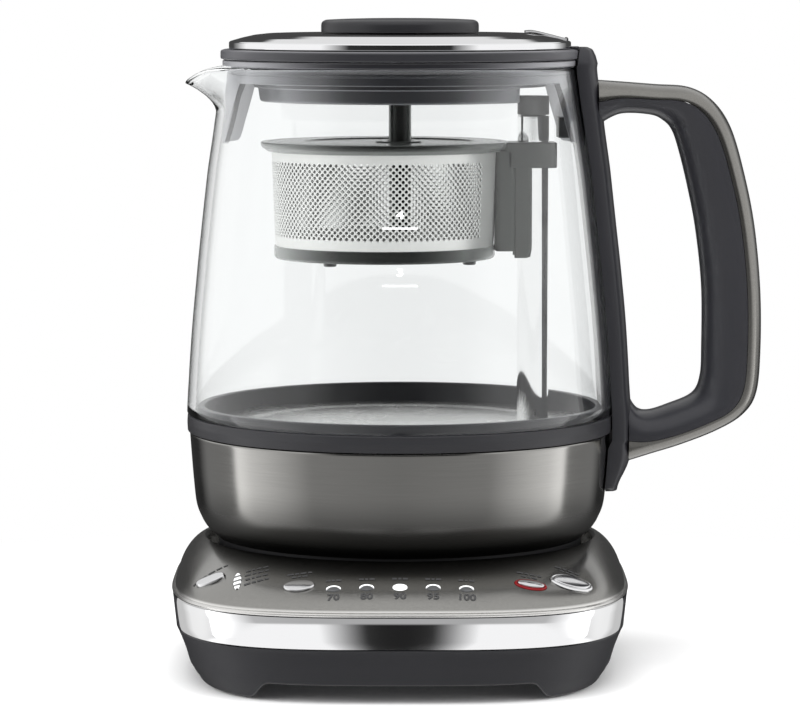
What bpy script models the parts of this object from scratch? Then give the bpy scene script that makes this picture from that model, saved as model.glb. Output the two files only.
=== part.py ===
"""Automatic tea maker: a glass jug with a motor-lifted tea basket, on a cordless power base.

Metres, +Z up. It stands on z = 0 with the spout towards -X, the handle towards +X and the control
panel towards -Y. The origin lies under the middle of the whole outline, and the jug's axis is an
empty that carries every piece. Heights are built up from the feet, and radii from the jug's glass.
"""
import math

import bmesh
import bpy
from mathutils import Matrix, Vector

# Clearances, cutters and facets
SEAT_GAP = 0.0003            # between two pieces that touch
RUNNING_GAP = 0.0004         # between a moving piece and its guide
OVERRUN = 0.002              # of a cutter past the face that it cuts
MERGE = 0.00001
PLAN_FACETS = 56             # round the power base
WIDE_FACETS = 40             # round the jug and lid
BASKET_FACETS = 36
INNER_FACETS = 28
SMALL_FACETS = 16
TINY_FACETS = 10

# Glass: outer radii at its foot and mouth
GLASS_FOOT_RADIUS = 0.0759
GLASS_TAPER = 0.0129
GLASS_HEIGHT = 0.1229
GLASS_WALL = 0.0029
GLASS_BULGE_SHARE = 0.62     # how the taper gathers towards the mouth
GLASS_LEVEL_SHARES = (0.0, 0.12, 0.28, 0.45, 0.62, 0.77, 0.875, 0.925, 0.965, 1.0)
GLASS_MOUTH_RADIUS = GLASS_FOOT_RADIUS - GLASS_TAPER
SPOUT_REACH = 0.0132
SPOUT_DROP = 0.0060
SPOUT_HALF_ANGLE = math.radians(29)
SPOUT_START_SHARE = 0.86
SPOUT_SIDE_POWER = 1.6       # how the spout fades sideways, comes forward and dips
SPOUT_REACH_POWER = 2.2
SPOUT_DROP_POWER = 1.5

# Jug body below the glass: the shell's outline is (height over the jug's foot, inset from its top)
JUG_BAND_STEP = 0.0002
JUG_BAND_HEIGHT = 0.0059
JUG_BAND_LIP = 0.0035
JUG_BAND_WALL = 0.0028
JUG_BAND_LEDGE_WIDTH = 0.0036
JUG_BAND_LEDGE = 0.0010
SHELL_STEP = 0.0008
SHELL_HEIGHT = 0.0435
SHELL_WALL = 0.0012
SHELL_WAIST = (0.0270, 0.0012)
SHELL_TURN = (0.0180, 0.0022)
SHELL_CURVE = (0.0133, 0.0039)
SHELL_HEEL = (0.0094, 0.0055)
SHELL_TOE = (0.0070, 0.0083)
SHELL_LIP = (0.0064, 0.0096)
UNDERSIDE_STEP = 0.0005
UNDERSIDE_WALL = 0.0022
UNDERSIDE_HEIGHT = 0.0086
UNDERSIDE_FLANGE = 0.0018
PLATE_THICKNESS = 0.0015
ELEMENT_MARGIN = 0.0083      # to the lift motor
ELEMENT_TUBE = 0.0034
ELEMENT_OPENING = math.radians(24)
ELEMENT_STEPS = 18
ELEMENT_TAIL = 0.0150
SENSOR_RADIUS = 0.0040
SENSOR_LENGTH = 0.0080
MOTOR_RADIUS = 0.0100
MOTOR_LENGTH = 0.0260
JUG_BAND_RADIUS = GLASS_FOOT_RADIUS - JUG_BAND_STEP
JUG_BAND_INNER_RADIUS = GLASS_FOOT_RADIUS - GLASS_WALL - 2 * SEAT_GAP - JUG_BAND_WALL
SHELL_TOP_RADIUS = JUG_BAND_RADIUS - SHELL_STEP
UNDERSIDE_RADIUS = SHELL_TOP_RADIUS - SHELL_LIP[1] - UNDERSIDE_STEP

# Power base: radii and plan outline, which grow with the jug
RECESS_MARGIN = 0.0038
RIM_LAND = 0.0006
RIM_BAND = 0.0022
SIDE_MARGIN = 0.0113
FRONT_MARGIN = 0.0268
BACK_MARGIN = 0.0108
BASE_CORNER_POWER = 3.2      # squareness of the plan outline
RECESS_RADIUS = UNDERSIDE_RADIUS + RECESS_MARGIN
RIM_RADIUS = RECESS_RADIUS + RIM_LAND
BASE_HALF_WIDTH = RIM_RADIUS + SIDE_MARGIN
BASE_FRONT = RIM_RADIUS + FRONT_MARGIN
BASE_BACK = RIM_RADIUS + BACK_MARGIN

# Power base: heights from the table up
FOOT_HEIGHT = 0.0017
LEG_HEIGHT = 0.0044
FLOOR_THICKNESS = 0.0024
SKIRT_HEIGHT = 0.0126
SKIRT_BEND = 0.0061
BAND_HEIGHT = 0.0113
LEDGE_DROP = 0.0066
LIP_GAP = 0.0005
LIP_EDGE = 0.0006
LIP_HEIGHT = 0.0009
PANEL_RISE = 0.0137
RECESS_DEPTH = 0.0090
LEG_BOTTOM_Z = FOOT_HEIGHT + SEAT_GAP
FLOOR_BOTTOM_Z = LEG_BOTTOM_Z + LEG_HEIGHT
FLOOR_TOP_Z = FLOOR_BOTTOM_Z + FLOOR_THICKNESS
SKIRT_BEND_Z = FLOOR_BOTTOM_Z + SKIRT_BEND
BAND_BOTTOM_Z = FLOOR_BOTTOM_Z + SKIRT_HEIGHT
BAND_TOP_Z = BAND_BOTTOM_Z + BAND_HEIGHT
LEDGE_Z = BAND_TOP_Z - LEDGE_DROP
LIP_BOTTOM_Z = BAND_TOP_Z + LIP_GAP
LIP_EDGE_Z = LIP_BOTTOM_Z + LIP_EDGE
LIP_TOP_Z = LIP_EDGE_Z + LIP_HEIGHT
RIM_Z = LIP_TOP_Z + PANEL_RISE
RECESS_Z = RIM_Z - RECESS_DEPTH

# Power base: walls and their insets from the outline
LEG_BOTTOM_INSET = 0.0110
SKIRT_INSET = 0.0087
SKIRT_BEND_INSET = 0.0064
BAND_BOTTOM_INSET = 0.0055
BAND_TOP_INSET = 0.0019
LIP_INSET = 0.0009
BAND_THICKNESS = 0.0014
BAND_END_ANGLE = math.radians(33)
HOUSING_WALL = 0.0021
HOUSING_TOP_WALL = 0.0041    # from the band's outer face to the wall's inner face, at the top
LEDGE_WIDTH = 0.0030
LEG_SLOPE = 0.0060
LEG_WIDTH = 0.0345           # corner to the open stretch between two legs
LEG_DEPTH = 0.0460
FRONT_SHOULDER_POWER = 1.35  # panel nearly flat at the front
SIDE_SHOULDER_POWER = 2.3    # shoulder rounder at the sides
COVER_WALL = 0.0022
COVER_OUTER_SHARES = (0.96, 0.86, 0.70, 0.48, 0.22)  # rings of the panel, lip (1) to rim (0)
COVER_INNER_SHARES = (0.30, 0.60, 0.84)
PANEL_SKIN = 0.0012          # left over a button's flange
POCKET_DEPTH = 0.0060

# Jug socket in the base
TURRET_RADIUS = 0.0126
TURRET_HEIGHT = 0.0050
TURRET_FLANGE_WIDTH = 0.0039
TURRET_FLANGE = 0.0014
PIN_RADIUS = 0.0024
PIN_HEIGHT = 0.0070
PIN_CHAMFER = 0.0008
PIN_HEAD_WIDTH = 0.0019
SOCKET_SLEEVE = 0.0045
SOCKET_WALL = 0.0025
SOCKET_ROOF = 0.0046
SEAT_MARGIN = 0.0028
SEAT_WIDTH = 0.0060
SEAT_HEIGHT = 0.0022
TURRET_TOP_Z = RECESS_Z + TURRET_HEIGHT
PIN_TOP_Z = TURRET_TOP_Z + PIN_HEIGHT
SOCKET_RADIUS = TURRET_RADIUS + RUNNING_GAP + SOCKET_SLEEVE
SOCKET_TOP_Z = PIN_TOP_Z + RUNNING_GAP + SOCKET_ROOF
SEAT_OUTER_RADIUS = UNDERSIDE_RADIUS - SEAT_MARGIN
SEAT_INNER_RADIUS = SEAT_OUTER_RADIUS - SEAT_WIDTH
JUG_BOTTOM_Z = RECESS_Z + 2 * SEAT_GAP + SEAT_HEIGHT

# Panel controls, by their place seen from above (x, y from the jug's axis, with the base's size)
BUTTON_TRAVEL = 0.0010
BUTTON_PROUD = 0.0009
BUTTON_FLANGE = 0.0010
BUTTON_STEM_RADIUS = 0.0018
BUTTON_STEM = 0.0045
SWITCH_SIZE = 0.0056
STRENGTH_PLACE = (BASE_HALF_WIDTH * -0.8037, BASE_FRONT * -0.6740)
STRENGTH_OVAL = (0.0056, 0.0034)
SELECT_PLACE = (BASE_HALF_WIDTH * -0.4224, BASE_FRONT * -0.8688)
SELECT_OVAL = (0.0060, 0.0040)
KEEP_WARM_PLACE = (BASE_HALF_WIDTH * 0.5491, BASE_FRONT * -0.8333)
KEEP_WARM_OVAL = (0.0043, 0.0029)
START_PLACE = (BASE_HALF_WIDTH * 0.7242, BASE_FRONT * -0.7500)
START_OVAL = (0.0070, 0.0040)
HALO_WIDTH = 0.0011
BEZEL_WIDTH = 0.0012
TEA_LAMP_COUNT = 5
TEA_LAMP_PITCH = BASE_HALF_WIDTH * 0.1391
TEA_LAMP_Y = BASE_FRONT * -0.8958
TEA_LAMP_RADIUS = 0.0025
STRENGTH_LAMPS_PLACE = (BASE_HALF_WIDTH * -0.6870, BASE_FRONT * -0.7583)
STRENGTH_LAMPS_OVAL = (0.0011, 0.0056)
LAMP_DEPTH = 0.0050
LAMP_PROUD = 0.0002
GUIDE_RADIUS = 0.0012
GUIDE_END_SHARE = 0.3        # of the lamp pitch, past the last lamp
GUIDE_SINK_SHARE = 0.45      # how deep the lamps reach into the light guide
GUIDE_FACETS = 8

# Inside the base
BOARD_THICKNESS = 0.0016
BOARD_INNER_MARGIN = 0.0066
BOARD_END_ANGLE = math.radians(32)
SCREW_MARGIN = 0.0206
SCREW_COUNT = 3
SCREW_START = math.radians(80)
SCREW_SHANK_RADIUS = 0.0013
SCREW_HEAD_RADIUS = 0.0027
SCREW_HEAD = 0.0014
SCREW_REACH = 0.0100
BOSS_RADIUS = 0.0036
BOSS_CLEARANCE = 0.0027      # over the tray's floor
POWER_BOARD_SIZE = (0.0560, 0.0150)
POWER_BOARD_MARGIN = 0.0018
TRANSFORMER_SIZE = (0.0200, 0.0080, 0.0063)
GLAND_X = -0.0400
GLAND_DROP = 0.0050          # its middle under the band's bottom
GLAND_RADIUS = 0.0042
GLAND_LENGTH = 0.0140
GLAND_FLANGE_SHARE = 1.5
FOOT_RADIUS = 0.0050
FOOT_SIDE_MARGIN = 0.0233
FOOT_FRONT_MARGIN = 0.0415
FOOT_BACK_MARGIN = 0.0338

# Jug: heights from its foot up
SHELL_TOP_Z = JUG_BOTTOM_Z + SHELL_HEIGHT
UNDERSIDE_FLANGE_Z = JUG_BOTTOM_Z + UNDERSIDE_HEIGHT
JUG_BAND_LOW_Z = SHELL_TOP_Z + SEAT_GAP
JUG_BAND_HIGH_Z = JUG_BAND_LOW_Z + JUG_BAND_HEIGHT
JUG_BAND_LIP_Z = JUG_BAND_HIGH_Z + JUG_BAND_LIP
HEATER_BOTTOM_Z = JUG_BAND_LOW_Z + JUG_BAND_LEDGE + SEAT_GAP
GLASS_FOOT_Z = JUG_BAND_HIGH_Z + SEAT_GAP
GLASS_MOUTH_Z = GLASS_FOOT_Z + GLASS_HEIGHT

# Jug collar inside the mouth
COLLAR_INSET = 0.0002
COLLAR_FLANGE = 0.0020
COLLAR_WALL = 0.0021
COLLAR_DEPTH = 0.0067
TONGUE_DEPTH = 0.0267
TONGUE_LEAN = 0.0018
TONGUE_WALL = 0.0018
TONGUE_TOP_HALF_ANGLE = math.radians(33)
TONGUE_FOOT_HALF_ANGLE = math.radians(21)
COLLAR_TOP_Z = GLASS_MOUTH_Z + SEAT_GAP + COLLAR_FLANGE
COLLAR_SKIRT_RADIUS = GLASS_MOUTH_RADIUS - GLASS_WALL - SEAT_GAP
COLLAR_BORE_RADIUS = COLLAR_SKIRT_RADIUS - COLLAR_WALL
COLLAR_BOTTOM_Z = GLASS_MOUTH_Z - COLLAR_DEPTH

# Lid
LID_RING_PROUD = 0.0005
LID_RING_WIDTH = 0.0135
LID_RING_HEIGHT = 0.0027
LID_PLATE_STEP = 0.0030
LID_PLATE_EDGE = 0.0026
LID_SLOPE_WIDTH = 0.0135
LID_SLOPE_RISE = 0.0035
KNOB_RADIUS = 0.0279
KNOB_HEIGHT = 0.0050
KNOB_ROUND = 0.0016
KNOB_CROWN_WIDTH = 0.0084    # of the nearly flat top's outer part
KNOB_STUD_RADIUS = 0.0060
PLUG_MARGIN = 0.0074         # collar bore to the plug's foot
PLUG_DEPTH = 0.0146
PLUG_WALL = 0.0020
PLUG_STEP = 0.0014
PLUG_STEP_HEIGHT = 0.0029
PLUG_STEP_SHARES = (3.0, 2.4, 1.7)  # heights of the steps over the plug's foot, in step heights
PLUG_CUT_HEIGHT = 0.0052     # the plug's foot is cut straight across beside the post
SEAL_DROP = 0.0038
SEAL_HEIGHT = 0.0014
STEM_RADIUS = 0.0040
STEM_OVER_CUP = 0.0078
STEM_FLANGE_RADIUS = 0.0090
STEM_FLANGE = 0.0012
TAB_REACH = 0.0122
TAB_SEAT = 0.0030
TAB_HALF_WIDTH = 0.0065
TAB_THICKNESS = 0.0012
LID_RING_Z = COLLAR_TOP_Z + SEAT_GAP
LID_RING_RADIUS = GLASS_MOUTH_RADIUS + LID_RING_PROUD
LID_PLATE_Z = LID_RING_Z + LID_RING_HEIGHT + SEAT_GAP
LID_PLATE_RADIUS = LID_RING_RADIUS - LID_PLATE_STEP
LID_SHOULDER_Z = LID_PLATE_Z + LID_PLATE_EDGE
LID_TOP_RADIUS = LID_PLATE_RADIUS - LID_SLOPE_WIDTH
LID_TOP_Z = LID_SHOULDER_Z + LID_SLOPE_RISE
KNOB_TOP_Z = LID_TOP_Z + SEAT_GAP + KNOB_HEIGHT
PLUG_TOP_Z = COLLAR_TOP_Z
PLUG_BOTTOM_Z = PLUG_TOP_Z - PLUG_DEPTH
PLUG_RADIUS = COLLAR_BORE_RADIUS - PLUG_MARGIN
SEAL_Z = PLUG_TOP_Z - SEAL_DROP

# Lift
POST_MARGIN = 0.0157         # post's axis inside the glass mouth
POST_RADIUS = 0.00565
POST_WALL = 0.00105
POST_DROP = 0.0052           # its top under the lid's plug
POST_CAP_HEIGHT = 0.0068
POST_CAP_PLUG = 0.0055
CARRIER_GAP = 0.0004
CARRIER_DROP = 0.0019        # its top under the arm's
CARRIER_LENGTH = 0.0180
POST_X = GLASS_MOUTH_RADIUS - POST_MARGIN
POST_TOP_Z = PLUG_BOTTOM_Z - POST_DROP
POST_BORE_RADIUS = POST_RADIUS - POST_WALL
ELEMENT_RADIUS = POST_X - MOTOR_RADIUS - ELEMENT_MARGIN
PLUG_CUT_X = POST_X - POST_RADIUS - 2 * SEAT_GAP

# Basket, on its own axis between the post and the spout
CUP_MARGIN = 0.0240          # cup to the glass mouth's radius
CUP_HEIGHT = 0.0380
CUP_WALL = 0.0008
CUP_TAPER = 0.0005
RIM_DROP = 0.0142            # the basket's rim under the lid's plug
RIM_PROUD = 0.0020
RIM_FLARE = 0.0048
RIM_LIP = 0.0028
RIM_NECK_DROP = 0.0036
RIM_BORE_STEP = 0.0022
TRIM_HEIGHT = 0.0027
TRIM_STEP = 0.0002
TRIM_WIDTH = 0.0038
BASKET_LID_THICKNESS = 0.0014
ARM_SPACE = 0.00815          # between the cup and the post
ARM_HALF_WIDTH = 0.0088
ARM_FOOT = 0.0013
ARM_CLAMP_DEPTH = 0.0090
ARM_CLAMP_WALL = 0.0020
HOOK_WIDTH = 0.0022
HOOK_REACH = 0.0010
CUP_RADIUS = GLASS_MOUTH_RADIUS - CUP_MARGIN
BASKET_X = POST_X - POST_RADIUS - ARM_SPACE - CUP_RADIUS
RIM_TOP_Z = PLUG_BOTTOM_Z - RIM_DROP
CUP_TOP_Z = RIM_TOP_Z - RIM_PROUD
CUP_BOTTOM_Z = CUP_TOP_Z - CUP_HEIGHT
RIM_NECK_Z = CUP_TOP_Z - RIM_NECK_DROP
RIM_OUTER_RADIUS = CUP_RADIUS + RIM_FLARE
RIM_BORE_RADIUS = CUP_RADIUS + RIM_BORE_STEP
TRIM_RADIUS = CUP_RADIUS - TRIM_STEP
TRIM_BOTTOM_Z = CUP_BOTTOM_Z - SEAT_GAP - TRIM_HEIGHT
STEM_BOTTOM_Z = CUP_BOTTOM_Z + STEM_OVER_CUP
ARM_TOP_Z = RIM_TOP_Z - SEAT_GAP
ARM_CLAMP_BOTTOM_Z = ARM_TOP_Z - ARM_CLAMP_DEPTH
ARM_BLOCK_X = POST_X - POST_RADIUS - RUNNING_GAP
HOOK_BOTTOM_Z = CUP_BOTTOM_Z - HOOK_REACH
CARRIER_TOP_Z = ARM_TOP_Z - CARRIER_DROP

# Handle: (distance from its root, height) of its outer and inner edge, as shares of its depth and
# height, and the metal trim's part of the thickness
HANDLE_DEPTH = 0.0495
HANDLE_SEAT = 0.0053         # its root over the glass's slope, on the strap
HANDLE_LEAN = 0.0023         # of the glass's slope, at the handle's widest height
HANDLE_DROP = 0.0047         # its top under the glass mouth
HANDLE_SHELL_DROP = 0.0113   # its bottom under the shell's top
HANDLE_HALF_WIDTH = 0.0132
HANDLE_ARM_HALF_WIDTH = 0.0118
HANDLE_STATIONS = 26
HANDLE_FACETS = 8
HANDLE_SQUARENESS = 2.8
HANDLE_END_POWER = 3         # how late the grip narrows to its arms
HANDLE_REACH = GLASS_FOOT_RADIUS + HANDLE_SEAT + HANDLE_DEPTH - HANDLE_LEAN
HANDLE_LOW_Z = SHELL_TOP_Z - HANDLE_SHELL_DROP
HANDLE_HIGH_Z = GLASS_MOUTH_Z - HANDLE_DROP
HANDLE_SHARES = (
    ((0.052, 0.999), (0.063, 0.884), 0.46),
    ((0.196, 0.995), (0.159, 0.911), 0.48),
    ((0.430, 0.988), (0.373, 0.909), 0.47),
    ((0.669, 0.981), (0.470, 0.892), 0.38),
    ((0.828, 0.946), (0.522, 0.865), 0.28),
    ((0.938, 0.879), (0.556, 0.811), 0.22),
    ((1.003, 0.764), (0.590, 0.725), 0.19),
    ((1.043, 0.621), (0.618, 0.613), 0.18),
    ((1.040, 0.450), (0.621, 0.463), 0.18),
    ((1.000, 0.292), (0.580, 0.305), 0.18),
    ((0.937, 0.182), (0.547, 0.224), 0.20),
    ((0.825, 0.126), (0.472, 0.179), 0.22),
    ((0.626, 0.084), (0.289, 0.150), 0.27),
    ((0.358, 0.046), (0.151, 0.135), 0.30),
    ((0.133, 0.021), (0.067, 0.142), 0.32),
    ((-0.001, 0.006), (0.053, 0.168), 0.34),
)

# Handle strap: (height, thickness over the jug's wall as a share of its full thickness)
STRAP_FOOT_DROP = 0.0210
STRAP_HEAD = 0.0041
STRAP_HALF_WIDTH = 0.0140
STRAP_EDGE = 0.0010
STRAP_STEP = 0.0040          # the strap widens to the band this far below it
STRAP_THICKNESS = 0.0098
STRAP_FACETS = 6
STRAP_SQUARENESS = 2.6
STRAP_HEAD_NARROWING = 0.35
STRAP_BOTTOM_Z = SHELL_TOP_Z - STRAP_FOOT_DROP
STRAP_TOP_Z = LID_RING_Z + STRAP_HEAD
STRAP_LEVELS = (
    (STRAP_BOTTOM_Z, 0.22), (STRAP_BOTTOM_Z + 0.0028, 0.30), (STRAP_BOTTOM_Z + 0.0071, 0.52),
    (STRAP_BOTTOM_Z + 0.0107, 0.66), (STRAP_BOTTOM_Z + 0.0141, 0.72), (JUG_BAND_LOW_Z - 0.0025, 0.66),
    (GLASS_FOOT_Z, 0.64), (GLASS_FOOT_Z + 0.0063, 0.60), (GLASS_FOOT_Z + 0.0393, 0.62),
    (GLASS_MOUTH_Z - 0.0482, 0.60), (GLASS_MOUTH_Z - 0.0215, 0.62), (GLASS_MOUTH_Z - 0.0051, 0.63),
    (GLASS_MOUTH_Z + SEAT_GAP, 0.62), (STRAP_TOP_Z - 0.0024, 0.52), (STRAP_TOP_Z, 0.34),
)
HANDLE_SCREW_DROP = 0.0088
HANDLE_SCREW_REACH = 0.0050
HANDLE_SCREW_Z = SHELL_TOP_Z - HANDLE_SCREW_DROP

PARTS = "tea_maker"
CUTTERS = "tea_maker_cutters"

# Colour (linear), metallic, roughness
FINISHES = {
    "hickory_metal": ((0.20, 0.19, 0.165), 0.9, 0.36),
    "charcoal_plastic": ((0.050, 0.050, 0.054), 0.0, 0.42),
    "housing_plastic": ((0.040, 0.040, 0.043), 0.0, 0.50),
    "grey_plastic": ((0.120, 0.120, 0.128), 0.0, 0.40),
    "black_plastic": ((0.012, 0.012, 0.013), 0.0, 0.45),
    "soft_grip": ((0.045, 0.045, 0.050), 0.0, 0.55),
    "polished_steel": ((0.80, 0.80, 0.81), 1.0, 0.08),
    "brushed_steel": ((0.62, 0.62, 0.61), 1.0, 0.28),
    "clear_glass": ((0.95, 0.97, 0.97), 0.0, 0.03),
    "black_rubber": ((0.015, 0.015, 0.015), 0.0, 0.80),
    "silicone": ((0.22, 0.22, 0.23), 0.0, 0.60),
    "silver_button": ((0.75, 0.75, 0.74), 0.8, 0.25),
    "lamp_lens": ((0.90, 0.90, 0.92), 0.0, 0.20),
    "red_lens": ((0.55, 0.01, 0.01), 0.0, 0.25),
    "brass": ((0.75, 0.52, 0.22), 1.0, 0.30),
    "circuit_board": ((0.02, 0.13, 0.05), 0.0, 0.50),
    "winding": ((0.42, 0.17, 0.06), 0.6, 0.45),
}


# Helpers
def finish(name):
    """The material of a finish, made once."""
    found = bpy.data.materials.get(name)
    if found:
        return found
    colour, metallic, roughness = FINISHES[name]
    made = bpy.data.materials.new(name)
    made.use_nodes = True
    shader = made.node_tree.nodes["Principled BSDF"]
    shader.inputs["Base Color"].default_value = (*colour, 1.0)
    shader.inputs["Metallic"].default_value = metallic
    shader.inputs["Roughness"].default_value = roughness
    return made


def add_object(name, mesh, finish_name=None):
    """Put a mesh in the scene as a part, or as a cutter when it has no finish."""
    piece = bpy.data.objects.new(name, mesh)
    if finish_name:
        mesh.materials.append(finish(finish_name))
        bpy.data.collections[PARTS].objects.link(piece)
    else:
        bpy.data.collections[CUTTERS].objects.link(piece)
        piece.hide_render = True
        piece.display_type = "WIRE"
    piece.parent = bpy.data.objects["jug_axis"]
    return piece


def turned(name, profile, finish_name=None, facets=WIDE_FACETS, x=0.0, y=0.0, z=0.0):
    """A profile of (radius, height), down its outer side, turned about the vertical."""
    mesh = bpy.data.meshes.new(name)
    points = [(radius, 0.0, height) for radius, height in profile]
    edges = [(here, here + 1) for here in range(len(points) - 1)]
    if profile[0][0] > 0.0:
        edges.append((len(points) - 1, 0))
    mesh.from_pydata(points, edges, [])
    piece = add_object(name, mesh, finish_name)
    piece.location = (x, y, z)
    screw = piece.modifiers.new("turn", "SCREW")
    screw.axis = "Z"
    screw.angle = math.tau
    screw.steps = facets
    screw.render_steps = facets
    screw.use_merge_vertices = True
    screw.merge_threshold = MERGE
    screw.use_smooth_shade = True
    return piece


def cylinder(name, radius, bottom, top, finish_name=None, facets=SMALL_FACETS, x=0.0, y=0.0):
    """An upright cylinder between two heights."""
    profile = [(0.0, top), (radius, top), (radius, bottom), (0.0, bottom)]
    return turned(name, profile, finish_name, facets, x, y)


def loft(name, rings, finish_name=None, closed=False):
    """Skin over like rings of points, capped at both ends or closed into a tunnel."""
    mesh = bpy.data.meshes.new(name)
    shape = bmesh.new()
    rows = [[shape.verts.new(point) for point in ring] for ring in rings]
    pairs = list(zip(rows, rows[1:]))
    if closed:
        pairs.append((rows[-1], rows[0]))
    else:
        shape.faces.new(rows[0][::-1])
        shape.faces.new(rows[-1])
    for low, high in pairs:
        for here in range(len(low)):
            after = (here + 1) % len(low)
            shape.faces.new((low[here], low[after], high[after], high[here]))
    bmesh.ops.recalc_face_normals(shape, faces=shape.faces)
    shape.to_mesh(mesh)
    shape.free()
    mesh.shade_smooth()
    mesh.set_sharp_from_angle(angle=math.radians(35))
    return add_object(name, mesh, finish_name)


def box(name, low, high, finish_name=None):
    """A box between two corners."""
    mesh = bpy.data.meshes.new(name)
    shape = bmesh.new()
    size = [high[axis] - low[axis] for axis in range(3)]
    middle = [(high[axis] + low[axis]) / 2 for axis in range(3)]
    bmesh.ops.create_cube(shape, size=1.0)
    bmesh.ops.scale(shape, vec=size, verts=shape.verts)
    bmesh.ops.translate(shape, vec=middle, verts=shape.verts)
    shape.to_mesh(mesh)
    shape.free()
    return add_object(name, mesh, finish_name)


def combine(target, tool, operation):
    """Cut a piece with a tool, or fuse the tool to it."""
    boolean = target.modifiers.new(tool.name, "BOOLEAN")
    boolean.operation = operation
    boolean.solver = "EXACT"
    boolean.object = tool


def cut(target, tool):
    combine(target, tool, "DIFFERENCE")


def fuse(target, tool):
    combine(target, tool, "UNION")


def smooth_values(points, count):
    """Values read evenly from a smooth curve through like tuples of numbers."""
    spans = len(points) - 1
    found = []
    for index in range(count):
        place = index / (count - 1) * spans
        span = min(int(place), spans - 1)
        t = place - span
        around = [points[max(0, min(spans, span + step))] for step in (-1, 0, 1, 2)]
        found.append(tuple(
            0.5 * (2 * b + (c - a) * t + (2 * a - 5 * b + 4 * c - d) * t ** 2
                   + (3 * b - a - 3 * c + d) * t ** 3)
            for a, b, c, d in zip(*around)))
    return found


# Power base outline and panel surface
def plan_radius(angle, inset=0.0):
    """Distance from the jug's axis to the base's outline, moved in by an inset."""
    depth = (BASE_FRONT if math.sin(angle) < 0 else BASE_BACK) - inset
    width = BASE_HALF_WIDTH - inset
    across = abs(math.cos(angle) / width) ** BASE_CORNER_POWER
    along = abs(math.sin(angle) / depth) ** BASE_CORNER_POWER
    return (across + along) ** (-1 / BASE_CORNER_POWER)


def plan_angles():
    return [math.tau * index / PLAN_FACETS for index in range(PLAN_FACETS)]


def plan_ring(inset, z):
    """A level ring along the base's outline."""
    return [(plan_radius(a, inset) * math.cos(a), plan_radius(a, inset) * math.sin(a), z)
            for a in plan_angles()]


def round_ring(radius, z, facets=PLAN_FACETS):
    return [(radius * math.cos(math.tau * i / facets), radius * math.sin(math.tau * i / facets), z)
            for i in range(facets)]


def panel_height(angle, share):
    """Height of the cover's top, from the recess rim (share 0) out to the lip (share 1)."""
    forward = max(0.0, -math.sin(angle)) ** 2
    power = SIDE_SHOULDER_POWER + (FRONT_SHOULDER_POWER - SIDE_SHOULDER_POWER) * forward
    return LIP_TOP_Z + (RIM_Z - LIP_TOP_Z) * max(0.0, 1 - share ** power) ** (1 / power)


def panel_point(angle, share):
    radius = RIM_RADIUS + (plan_radius(angle) - RIM_RADIUS) * share
    return Vector((radius * math.cos(angle), radius * math.sin(angle), panel_height(angle, share)))


def panel_normal(angle, share):
    """Outward normal of the cover's top, from small steps along it."""
    step = MERGE * 100
    share = min(share, 1 - 2 * step)
    outward = panel_point(angle, share + step) - panel_point(angle, share - step)
    sideways = panel_point(angle + step, share) - panel_point(angle - step, share)
    return outward.cross(sideways).normalized()


def panel_frame(place):
    """Placement on the panel: X along the world's X laid on the panel, Z out of it."""
    angle = math.atan2(place[1], place[0])
    share = (math.hypot(*place) - RIM_RADIUS) / (plan_radius(angle) - RIM_RADIUS)
    normal = panel_normal(angle, share)
    along = (Vector((1, 0, 0)) - normal * normal.x).normalized()
    across = normal.cross(along)
    frame = Matrix((along, across, normal)).transposed().to_4x4()
    frame.translation = panel_point(angle, share)
    return frame


def oval_ring(half_length, half_width, depth, facets=SMALL_FACETS):
    """A ring on an oval, at a height over the panel's surface."""
    return [(half_length * math.cos(a), half_width * math.sin(a), depth)
            for a in (math.tau * index / facets for index in range(facets))]


def oval_stack(name, levels, finish_name=None, facets=SMALL_FACETS):
    """A solid of stacked ovals, each (half length, half width, height)."""
    return loft(name, [oval_ring(*level, facets) for level in levels], finish_name)


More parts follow.
